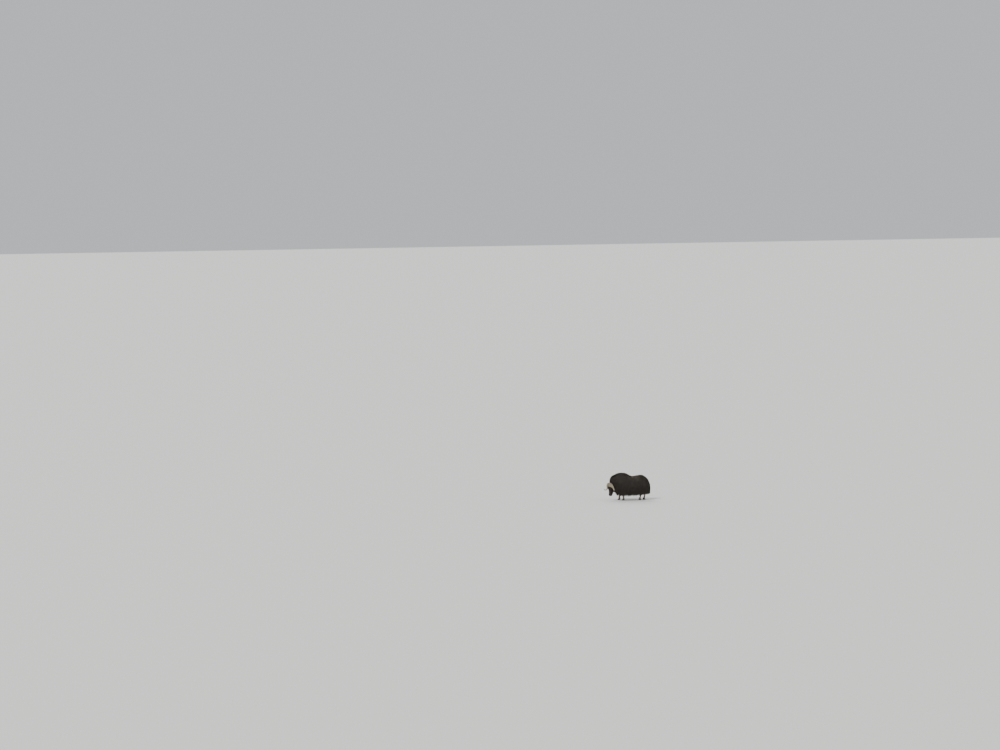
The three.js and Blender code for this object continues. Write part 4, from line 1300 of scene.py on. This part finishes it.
def lying_hair(root, out, lie, length, rng, steps, rise, sunk=0.002):
    """Short hair that leaves the skin at an angle and bends down along its lie.

    A path is its root, a little under the skin, plus its length times the lie and times a rise along the
    normal, which grows quickly at first and then levels out.
    """
    lie = np.broadcast_to(lie, out.shape)
    lie = unit(lie - out * dot(lie, out) + rng.normal(0, 0.12, out.shape))
    k = np.linspace(0, 1, steps + 1)[None, :, None]
    lifted = out[:, None] * (rise * (1 - (1 - k) ** 2))
    path = root[:, None] - out[:, None] * sunk + (lie[:, None] * k + lifted) * length[:, None, None]
    return path, for_each_point(out, steps + 1)


def head_roots(count, rng):
    """Evenly spread places on the head, as turns, runs, points and normals in the head's frame."""
    turn, run = rng.uniform(size=count * 3), rng.uniform(0.01, 0.985, count * 3)
    area = np.linalg.norm(np.cross(*slopes(head_base, turn, run)), axis=-1)
    picked = rng.choice(len(turn), count, replace=False, p=area / area.sum())
    return (values[picked] for values in (turn, run, *head_surface(turn, run)))


def under_horn(points):
    """Whether points of the head lie under a horn's boss, but for the groove between the two."""
    run = np.linspace(0.04, 0.5, 24)
    right = folded(points)
    away = np.linalg.norm(right[:, None] - spline(HORN_LINE, run)[None], axis=-1)
    return ((away / (spline(HORN_WIDE, run)[None] * 0.86)).min(1) < 1) & (right[:, 1] > BOSS_PARTING)


def nose_pad(points):
    """1 on the bare skin between and round the nostrils, in the head's frame, and 0 on the haired skin."""
    x, y, z = points.T
    wide = 0.03 + 0.5 * np.clip(z - NOSTRIL_AT[2], 0, 0.03)
    reach = np.hypot(y / wide, (z + 0.516) / 0.025)
    return (1 - smoothstep(0.85, 1.08, reach)) * (x < -0.03)


def face_hair(coat, colors, rng):
    """Short hair down the face, longer on the brow and cheeks, left out at eyes, nostrils and lips."""
    turn, run, points, out = head_roots(FACE_TUFTS, rng)
    x, y, z = points.T
    keep = (distance_to(points, EYE_AT + EYE_FACING * 0.012) > 0.021) & ~under_horn(points)
    keep &= nose_pad(points) < rng.uniform(0.1, 0.6, FACE_TUFTS)
    keep &= distance_to(points, NOSTRIL_AT) > 0.013
    keep &= (np.abs(off_mouth(x, z)) >= 0.006) | (z >= -0.43)
    turn, run, points, out, z = (values[keep] for values in (turn, run, points, out, z))
    behind = smoothstep(-0.2, 0.5, np.cos(2 * np.pi * turn)) * (1 - 0.8 * smoothstep(-0.46, -0.54, z))
    high = smoothstep(-0.36, -0.1, z)
    brow = bell(distance_to(points, EYE_AT + [0.0, 0.0, 0.035]), 0.03)
    length = coat.face_length * (1 + 1.2 * high + 2.6 * behind + 0.6 * brow) * rng.uniform(0.7, 1.3, len(z))
    rise = 0.2 + 0.12 * behind[:, None, None]
    path, outs = lying_hair(points, out, DOWN + points * LEVEL, length, rng, 2, rise)
    width = FACE_WIDTH * rng.uniform(0.8, 1.4, len(z)) * (1 + 0.7 * behind + 0.4 * high)
    tone = tones(rng, 0.5, 0.15, len(z))
    outs = (outs * [1.0, 1.0, 0.35] + unit(points * LEVEL)[:, None] * 0.5) @ HEAD_AXES.T
    values = from_head(path), outs, width, head_color(points, colors), np.stack([turn, run], -1), tone
    clear = distance_to(path[:, -1], EYE_AT + EYE_FACING * 0.008) > EYE_RADIUS
    return [value[clear] for value in values]


def lashes(coat, colors, rng):
    """A row of stiff lashes along the edge of each upper lid."""
    parts = []
    for side in SIDES.values():
        s = rng.uniform(np.radians(15), np.radians(165), LASHES)
        out, across = around_eye(side, s, lid_angle(s) + 0.05)
        root = sided(EYE_AT, side) + out * (EYE_RADIUS + 0.002)
        lie = unit(eye_axes(side)[0] * 0.9 + across * 0.5 + DOWN * 0.35)
        k = np.linspace(0, 1, 4)[None, :, None]
        path = from_head(root[:, None] + lie[:, None] * k * LASH_LENGTH - DOWN * 0.002 * (k - k**2))
        color = np.repeat(colors.face[None] * 0.3, LASHES, axis=0)
        spot = np.stack([rng.uniform(size=LASHES), np.full(LASHES, 0.41)], -1)
        outs = for_each_point(out @ HEAD_AXES.T, 4)
        parts.append((path, outs, np.full(LASHES, LASH_WIDTH), color, spot, np.zeros(LASHES)))
    return joined(parts)


def beard_hair(coat, colors, rng):
    """Long hair of the cheeks, jaw and throat behind the face, hanging as locks."""
    turn = rng.choice([-1, 1], BEARD_LOCKS) * rng.uniform(0.0, 0.2, BEARD_LOCKS)
    run = rng.uniform(0.2, 0.74, BEARD_LOCKS)
    points, out = head_surface(turn % 1, run)
    out = out @ HEAD_AXES.T
    length = lerp(0.2, 0.1, smoothstep(0.2, 0.75, run)) * lerp(1.0, 0.6, np.abs(turn) / 0.2)
    length = length * rng.uniform(0.8, 1.1, BEARD_LOCKS)
    root = from_head(points) - out * 0.006
    path, outs, width, lock, tone = hanging_locks(root, out, length, coat, rng, BEARD_SPREAD)
    color = lerp(head_color(points, colors), body_color(from_head(points), colors), 0.5)[lock]
    return path, outs, width * 0.8, color, np.stack([turn % 1, run], -1)[lock], tone


def poll_hair(coat, colors, rng):
    """Woolly hair over the poll, behind the horns and round the ears, swept back and down."""
    turn = rng.uniform(-0.3, 0.3, POLL_TUFTS)
    run = 0.02 + 0.3 * rng.uniform(size=POLL_TUFTS) ** 0.8
    top = rng.uniform(size=POLL_TUFTS) < 0.3
    turn = np.where(top, rng.uniform(-0.5, 0.5, POLL_TUFTS), turn)
    run = np.where(top, rng.uniform(0.004, 0.07, POLL_TUFTS), run)
    points, out = head_surface(turn % 1, run)
    keep = ~under_horn(points) & (np.abs(points[:, 1]) > 0.004)
    points, out, turn, run = points[keep], out[keep], turn[keep], run[keep]
    count = len(points)
    swept = [0.8, 0.0, -0.9] + points * [0.0, 4.0, 0.0]
    length = rng.uniform(*LENGTHS["poll"], count)
    path, outs = lying_hair(points, out, swept, length, rng, 3, 0.2, 0.004)
    width = coat.width * 0.45 * rng.uniform(0.6, 1.2, count)
    color = lerp(head_color(points, colors), colors.hump, 0.5)
    spot = np.stack([turn % 1, run], -1)
    return from_head(path), outs @ HEAD_AXES.T, width, color, spot, tones(rng, 0.45, 0.2, count)


def neck_hair(coat, colors, rng):
    """The mane of the neck: locks all round it that hang to the level of the forelegs' tops."""
    run, turn = rng.uniform(0.16, 0.97, THROAT_LOCKS), rng.uniform(size=THROAT_LOCKS)
    root = neck_at(run, turn, NECK_SLIM)
    out = surface_normals(neck_at, run, turn, root - spline(NECK_STATIONS["at"], run))
    tip = lerp(0.345, 0.45, smoothstep(0.25, 0.9, run))
    upper = smoothstep(-0.3, 0.6, np.cos(2 * np.pi * turn))
    length = np.minimum((root[:, 2] - tip) * rng.uniform(0.62, 1.0, THROAT_LOCKS), lerp(0.5, 0.2, upper))
    path, outs, width, lock, tone = hanging_locks(root, out, length, coat, rng, THROAT_SPREAD)
    return path, outs, width, body_color(path[:, 2], colors), np.stack([run, turn], -1)[lock], tone


def roots_on(points, faces, weight, count, rng):
    """Places spread evenly over triangles, weighted by a function of their middles, and the normals there."""
    corners = points[faces]
    normal = np.cross(corners[:, 1] - corners[:, 0], corners[:, 2] - corners[:, 0])
    share = np.linalg.norm(normal, axis=1) * weight(corners.mean(1))
    picked = rng.choice(len(faces), count, p=share / share.sum())
    root = (corners[picked] * rng.dirichlet([1, 1, 1], count)[..., None]).sum(1)
    return root, unit(normal[picked])


def neck_wool(coat, colors, rng):
    """Shorter hair that lies back and down over the neck and the body's front, so that no skin shows."""

    def front_part(middle):
        x, _, z = middle.T
        return (x < -0.4) * smoothstep(0.45, 0.6, z) * (z < 1.0)

    root, out = roots_on(*merged([body_form(), neck_form()]), front_part, NAPE_TUFTS, rng)
    lie = [0.4, 0.0, -1.0] + out * [0.0, 0.5, 0.0]
    length = rng.uniform(*LENGTHS["nape"], NAPE_TUFTS)
    path, outs = lying_hair(root, out, lie, length, rng, 3, 0.16, 0.004)
    width = coat.width * rng.uniform(0.7, 1.6, NAPE_TUFTS)
    spot = np.stack([root[:, 2], root[:, 1] + 0.5], -1)
    return path, outs, width, body_color(root, colors), spot, tones(rng, 0.45, 0.2, NAPE_TUFTS)


def leg_hair(coat, colors, rng):
    """Short hair down each leg, a little longer behind the shin and round the hoof."""
    parts = []
    for i, leg in enumerate(LEGS.values()):
        turn, run = rng.uniform(size=LEG_TUFTS), rng.uniform(0.16, 0.875, LEG_TUFTS)
        points = leg_at(leg, run, turn)
        height = points[:, 2]
        centre = xyz(leg[0] + spline(leg[2]["lean"], run), leg[1], height)
        out = surface_normals(lambda a, b: leg_at(leg, a, b), run, turn, points - centre)
        behind = np.maximum(np.cos(2 * np.pi * turn), 0)
        high, cuff = smoothstep(0.3, 0.5, height), bell(height - 0.075, 0.02)
        length = (0.013 + 0.014 * behind + 0.03 * high + 0.01 * cuff) * rng.uniform(0.7, 1.3, LEG_TUFTS)
        path, outs = lying_hair(points, out, DOWN, length, rng, 2, 0.2)
        path[..., 2] = np.maximum(path[..., 2], 0.03)
        tone = tones(rng, 0.5, 0.15, LEG_TUFTS)
        width = LEG_WIDTH * rng.uniform(0.8, 1.3, LEG_TUFTS) * (1 + high)
        spot = np.stack([(turn + i) / len(LEGS), run], -1)
        parts.append((path, outs, width, leg_color(points, colors), spot, tone))
    return joined(parts)


def ear_hair(coat, colors, rng):
    """Soft hair over the back and along the rim of each ear."""
    parts = []
    for side in SIDES.values():
        root, out = (sided(v, side) for v in roots_on(*ear_form(1), lambda middle: 1.0, EAR_TUFTS, rng))
        lie = unit(sided(EAR_AT + EAR_LENGTHWISE * 0.085, side) - root)
        length = rng.uniform(*LENGTHS["ear"], EAR_TUFTS)
        path, outs = lying_hair(root, out, lie, length, rng, 2, 0.07, 0.001)
        across = rng.uniform(0, 0.5, EAR_TUFTS) + (side > 0) * 0.5
        spot = np.stack([across, rng.uniform(size=EAR_TUFTS)], -1)
        color = np.repeat(colors.hump[None] * 1.5, EAR_TUFTS, axis=0)
        tone = tones(rng, 0.55, 0.2, EAR_TUFTS)
        width = rng.uniform(*EAR_WIDTHS, EAR_TUFTS)
        parts.append((from_head(path), outs @ HEAD_AXES.T, width, color, spot, tone))
    return joined(parts)


def grow(pieces, coat, colors, rng, finish):
    """Adds pieces of coat, each from its name and the function that places its tufts; the slot that each
    piece also lists is not used.
    """
    for name, tufts, slot in pieces:
        dress(add_tufts(name, *tufts(coat, colors, rng)), finish)


# Operators


class MUSKOX_OT_skin(bpy.types.Operator):
    """Lay one skin over the body, neck, legs, head, lids and ears"""

    bl_idname = "muskox.skin"
    bl_label = "Skin"

    def execute(self, context):
        _, colors = settings_of(context.scene)
        body = remeshed([body_form(), neck_form()], BODY_VOXEL, BODY_SMOOTHING)
        legs = remeshed([leg_form(leg) for leg in LEGS.values()], LEG_VOXEL, LEG_SMOOTHING)
        details = [form(side) for form in (lid_form, ear_form) for side in SIDES.values()]
        in_head, head_faces = merged([head_form(), *details])
        points, faces = merged([body, legs, (from_head(in_head), head_faces)])
        from_eye = distance_to(in_head, EYE_AT)
        face = head_color(in_head, colors)
        face[from_eye < EYE_RADIUS + 0.008] *= LID_SHADE
        # Painted shade: the body's skin is darkened as if it lay deep in the shaded coat
        shaded_under_coat = body_color(body[0], colors) * PAINTED_COAT_SHADE
        color = np.concatenate([shaded_under_coat, leg_color(legs[0], colors), face])
        hole = 1 - smoothstep(0.013, 0.018, distance_to(in_head, NOSTRIL_AT))
        lips = bell(in_head[:, 0] - MOUTH_AT, 0.004) * smoothstep(-0.44, -0.46, in_head[:, 2])
        rim = 1 - smoothstep(0.0, 0.0022, np.abs(from_eye - EYE_RADIUS - 0.0018))
        wet = np.clip(nose_pad(in_head) + hole + 0.7 * lips + rim, 0, 1)
        wet = np.concatenate([np.zeros(len(points) - len(in_head)), wet])
        skin = add_mesh("skin", points, faces, {"region_color": color, "region_wet": wet})
        dress(skin, skin_finish(), FLESH_NODES)
        return {"FINISHED"}


class MUSKOX_OT_horns(bpy.types.Operator):
    """Grow both horns, from the rough boss to the smooth dark tips"""

    bl_idname = "muskox.horns"
    bl_label = "Horns"

    def execute(self, context):
        _, colors = settings_of(context.scene)
        finish = horn_finish(colors)
        for name, side in SIDES.items():
            points, faces, grain = horn_form(side, np.random.default_rng(HORN_SEED + side))
            horn = add_mesh(f"horn_{name}_fine", points, faces, {"horn_grain": grain})
            dress(horn, finish, [f"horn_{name}"])
        return {"FINISHED"}


class MUSKOX_OT_eyes(bpy.types.Operator):
    """Set a glossy eyeball between each pair of lids"""

    bl_idname = "muskox.eyes"
    bl_label = "Eyes"

    def execute(self, context):
        _, colors = settings_of(context.scene)
        for name, side in SIDES.items():
            eye = add_mesh(f"eye_{name}_fine", *eye_form(side))
            dress(eye, eye_finish(name, side, colors), [f"eye_{name}"])
        return {"FINISHED"}


class MUSKOX_OT_hooves(bpy.types.Operator):
    """Shape the two toes and the dewclaws of each foot"""

    bl_idname = "muskox.hooves"
    bl_label = "Hooves"

    def execute(self, context):
        _, colors = settings_of(context.scene)
        finish = hoof_finish(colors)
        for name, leg in LEGS.items():
            parts = [form(leg, side) for form in (toe_form, dewclaw_form) for side in SIDES.values()]
            hoof = add_mesh(f"hoof_{name}", *merged(parts))
            dress(hoof, finish, [f"toe_{name}_a", f"toe_{name}_b"])
        return {"FINISHED"}


class MUSKOX_OT_body_coat(bpy.types.Operator):
    """Comb the long coat over the body, in pieces from the rump to the mane"""

    bl_idname = "muskox.body_coat"
    bl_label = "Body coat"

    def execute(self, context):
        coat, colors = settings_of(context.scene)
        rng = np.random.default_rng(coat.seed)
        finish = hair_finish("muskox_guard_hair", colors, gloss=0.66, shade=0.65)
        back = body_locks(coat, colors, rng, BACK_RUNS, coat.back_locks, steps=4)
        flank = body_locks(coat, colors, rng, FLANK_RUNS, coat.flank_locks, steps=3)
        lengthwise = (
            (back, ("coat_croup", "coat_saddle", "coat_hump")),
            (flank, ("coat_rump", "coat_barrel", "coat_mane")),
        )
        for values, names in lengthwise:
            spots = values[4]
            order = np.argsort(body_share(spots[:, 0]), kind="stable")
            for name, rows in zip(names, np.array_split(order, len(names))):
                dress(add_tufts(name, *(v[rows] for v in values)), finish)
        pieces = (("coat_crest", crest_hair, "coat"), ("coat_wool", body_wool, "coat"))
        grow(pieces, coat, colors, rng, finish)
        return {"FINISHED"}


class MUSKOX_OT_neck_coat(bpy.types.Operator):
    """Hang the mane under the neck, the beard and the wool behind the horns"""

    bl_idname = "muskox.neck_coat"
    bl_label = "Neck and beard"

    def execute(self, context):
        coat, colors = settings_of(context.scene)
        rng = np.random.default_rng(coat.seed + 1)
        finish = hair_finish("muskox_mane_hair", colors, gloss=0.68, shade=0.6)
        pieces = (
            ("coat_throat", neck_hair, "coat"),
            ("coat_beard", beard_hair, "coat"),
            ("coat_poll", poll_hair, "coat"),
            ("coat_nape", neck_wool, "coat"),
        )
        grow(pieces, coat, colors, rng, finish)
        return {"FINISHED"}


class MUSKOX_OT_short_coat(bpy.types.Operator):
    """Lay the short hair on the face, ears and legs"""

    bl_idname = "muskox.short_coat"
    bl_label = "Face, ears and legs"

    def execute(self, context):
        coat, colors = settings_of(context.scene)
        rng = np.random.default_rng(coat.seed + 2)
        finish = hair_finish("muskox_short_hair", colors, gloss=0.7, shade=0.3)
        pieces = (
            ("coat_face", face_hair, "face"),
            ("coat_ears", ear_hair, "face"),
            ("coat_lashes", lashes, "face"),
            ("coat_legs", leg_hair, "stocking"),
        )
        grow(pieces, coat, colors, rng, finish)
        return {"FINISHED"}


class MUSKOX_OT_stage(bpy.types.Operator):
    """Set the floor, the lights and the camera of the photo's view"""

    bl_idname = "muskox.stage"
    bl_label = "Stage"

    def execute(self, context):
        _, colors = settings_of(context.scene)
        mesh = bpy.data.meshes.new("floor")
        corners = [(x * FLOOR_REACH, y * FLOOR_REACH, 0) for x, y in ((-1, -1), (1, -1), (1, 1), (-1, 1))]
        mesh.from_pydata(corners, [], [(0, 1, 2, 3)])
        floor = bpy.data.objects.new("floor", mesh)
        context.scene.collection.objects.link(floor)
        finish = Finish("pale_floor", Specular_IOR_Level=0.2)
        mesh.materials.append(finish.feed(Base_Color=colors.floor, Roughness=0.9))
        add_lights(context.scene)
        add_camera(context.scene)
        return {"FINISHED"}


def add_lights(scene):
    """A broad key from the front left, a fill from the right and a rim from behind, under a pale sky."""
    for name, (strength, spread, direction) in LIGHTS.items():
        light = bpy.data.lights.new(name, "SUN")
        light.energy, light.angle = strength, math.radians(spread)
        lamp = bpy.data.objects.new(name, light)
        lamp.rotation_euler = Vector(direction).to_track_quat("-Z", "Y").to_euler()
        scene.collection.objects.link(lamp)
    scene.world = scene.world or bpy.data.worlds.new("sky")
    scene.world.use_nodes = True
    background = scene.world.node_tree.nodes["Background"]
    background.inputs["Color"].default_value = SKY_COLOR
    background.inputs["Strength"].default_value = SKY_STRENGTH


def add_camera(scene):
    """The photo's view: the horizon's height and tilt set the camera's pitch and roll.

    With the focal length in pixels, the ray through the pixel of the bull's footprint is followed back
    from the footprint's middle until a pixel covers the stated size there.
    """
    focal = PHOTO_WIDTH / 2 / math.tan(VIEW_ANGLE / 2)
    (left_x, left_y), (right_x, right_y) = HORIZON_LEFT, HORIZON_RIGHT
    roll = math.atan2(right_y - left_y, right_x - left_x)
    ahead_y = left_y + (right_y - left_y) * (PHOTO_WIDTH / 2 - left_x) / (right_x - left_x)
    pitch = math.atan2((PHOTO_HEIGHT / 2 - ahead_y) * math.cos(roll), focal)
    forward = Vector((0, math.cos(pitch), -math.sin(pitch)))
    level, upright = Vector((1, 0, 0)), Vector((0, math.sin(pitch), math.cos(pitch)))
    right = level * math.cos(roll) + upright * math.sin(roll)
    up = upright * math.cos(roll) - level * math.sin(roll)
    aside = GROUND_PIXEL[0] - PHOTO_WIDTH / 2
    below = GROUND_PIXEL[1] - PHOTO_HEIGHT / 2
    ray = forward * focal + right * aside - up * below
    data = bpy.data.cameras.new("camera")
    data.sensor_width = SENSOR
    data.lens = SENSOR / 2 / math.tan(VIEW_ANGLE / 2)
    data.clip_start, data.clip_end = CLIP_NEAR, CLIP_FAR
    camera = bpy.data.objects.new("camera", data)
    axes = Matrix((right, up, -forward)).transposed().to_4x4()
    place = Vector((SHIFT[0], SHIFT[1], 0)) - ray * METRES_PER_PIXEL
    camera.matrix_world = Matrix.Translation(place) @ axes
    scene.collection.objects.link(camera)
    scene.camera = camera


class MUSKOX_PT_panel(bpy.types.Panel):
    """Lists the muskox's pieces and settings"""

    bl_idname = "MUSKOX_PT_panel"
    bl_label = "Muskox"
    bl_space_type = "VIEW_3D"
    bl_region_type = "UI"
    bl_category = "Muskox"

    def draw(self, context):
        for operator in OPERATORS:
            self.layout.operator(operator.bl_idname)
        for group in (context.scene.muskox_coat, context.scene.muskox_colors):
            for name in type(group).__annotations__:
                self.layout.prop(group, name)


OPERATORS = (
    MUSKOX_OT_skin,
    MUSKOX_OT_horns,
    MUSKOX_OT_eyes,
    MUSKOX_OT_hooves,
    MUSKOX_OT_body_coat,
    MUSKOX_OT_neck_coat,
    MUSKOX_OT_short_coat,
    MUSKOX_OT_stage,
)
CLASSES = (MuskoxColors, MuskoxCoat, *OPERATORS, MUSKOX_PT_panel)


def register():
    for cls in CLASSES:
        bpy.utils.register_class(cls)
    bpy.types.Scene.muskox_colors = PointerProperty(type=MuskoxColors)
    bpy.types.Scene.muskox_coat = PointerProperty(type=MuskoxCoat)


def unregister():
    del bpy.types.Scene.muskox_coat
    del bpy.types.Scene.muskox_colors
    for cls in reversed(CLASSES):
        bpy.utils.unregister_class(cls)


def main():
    register()
    for operator in OPERATORS:
        group, name = operator.bl_idname.split(".")
        getattr(getattr(bpy.ops, group), name)()


if __name__ == "__main__":
    main()
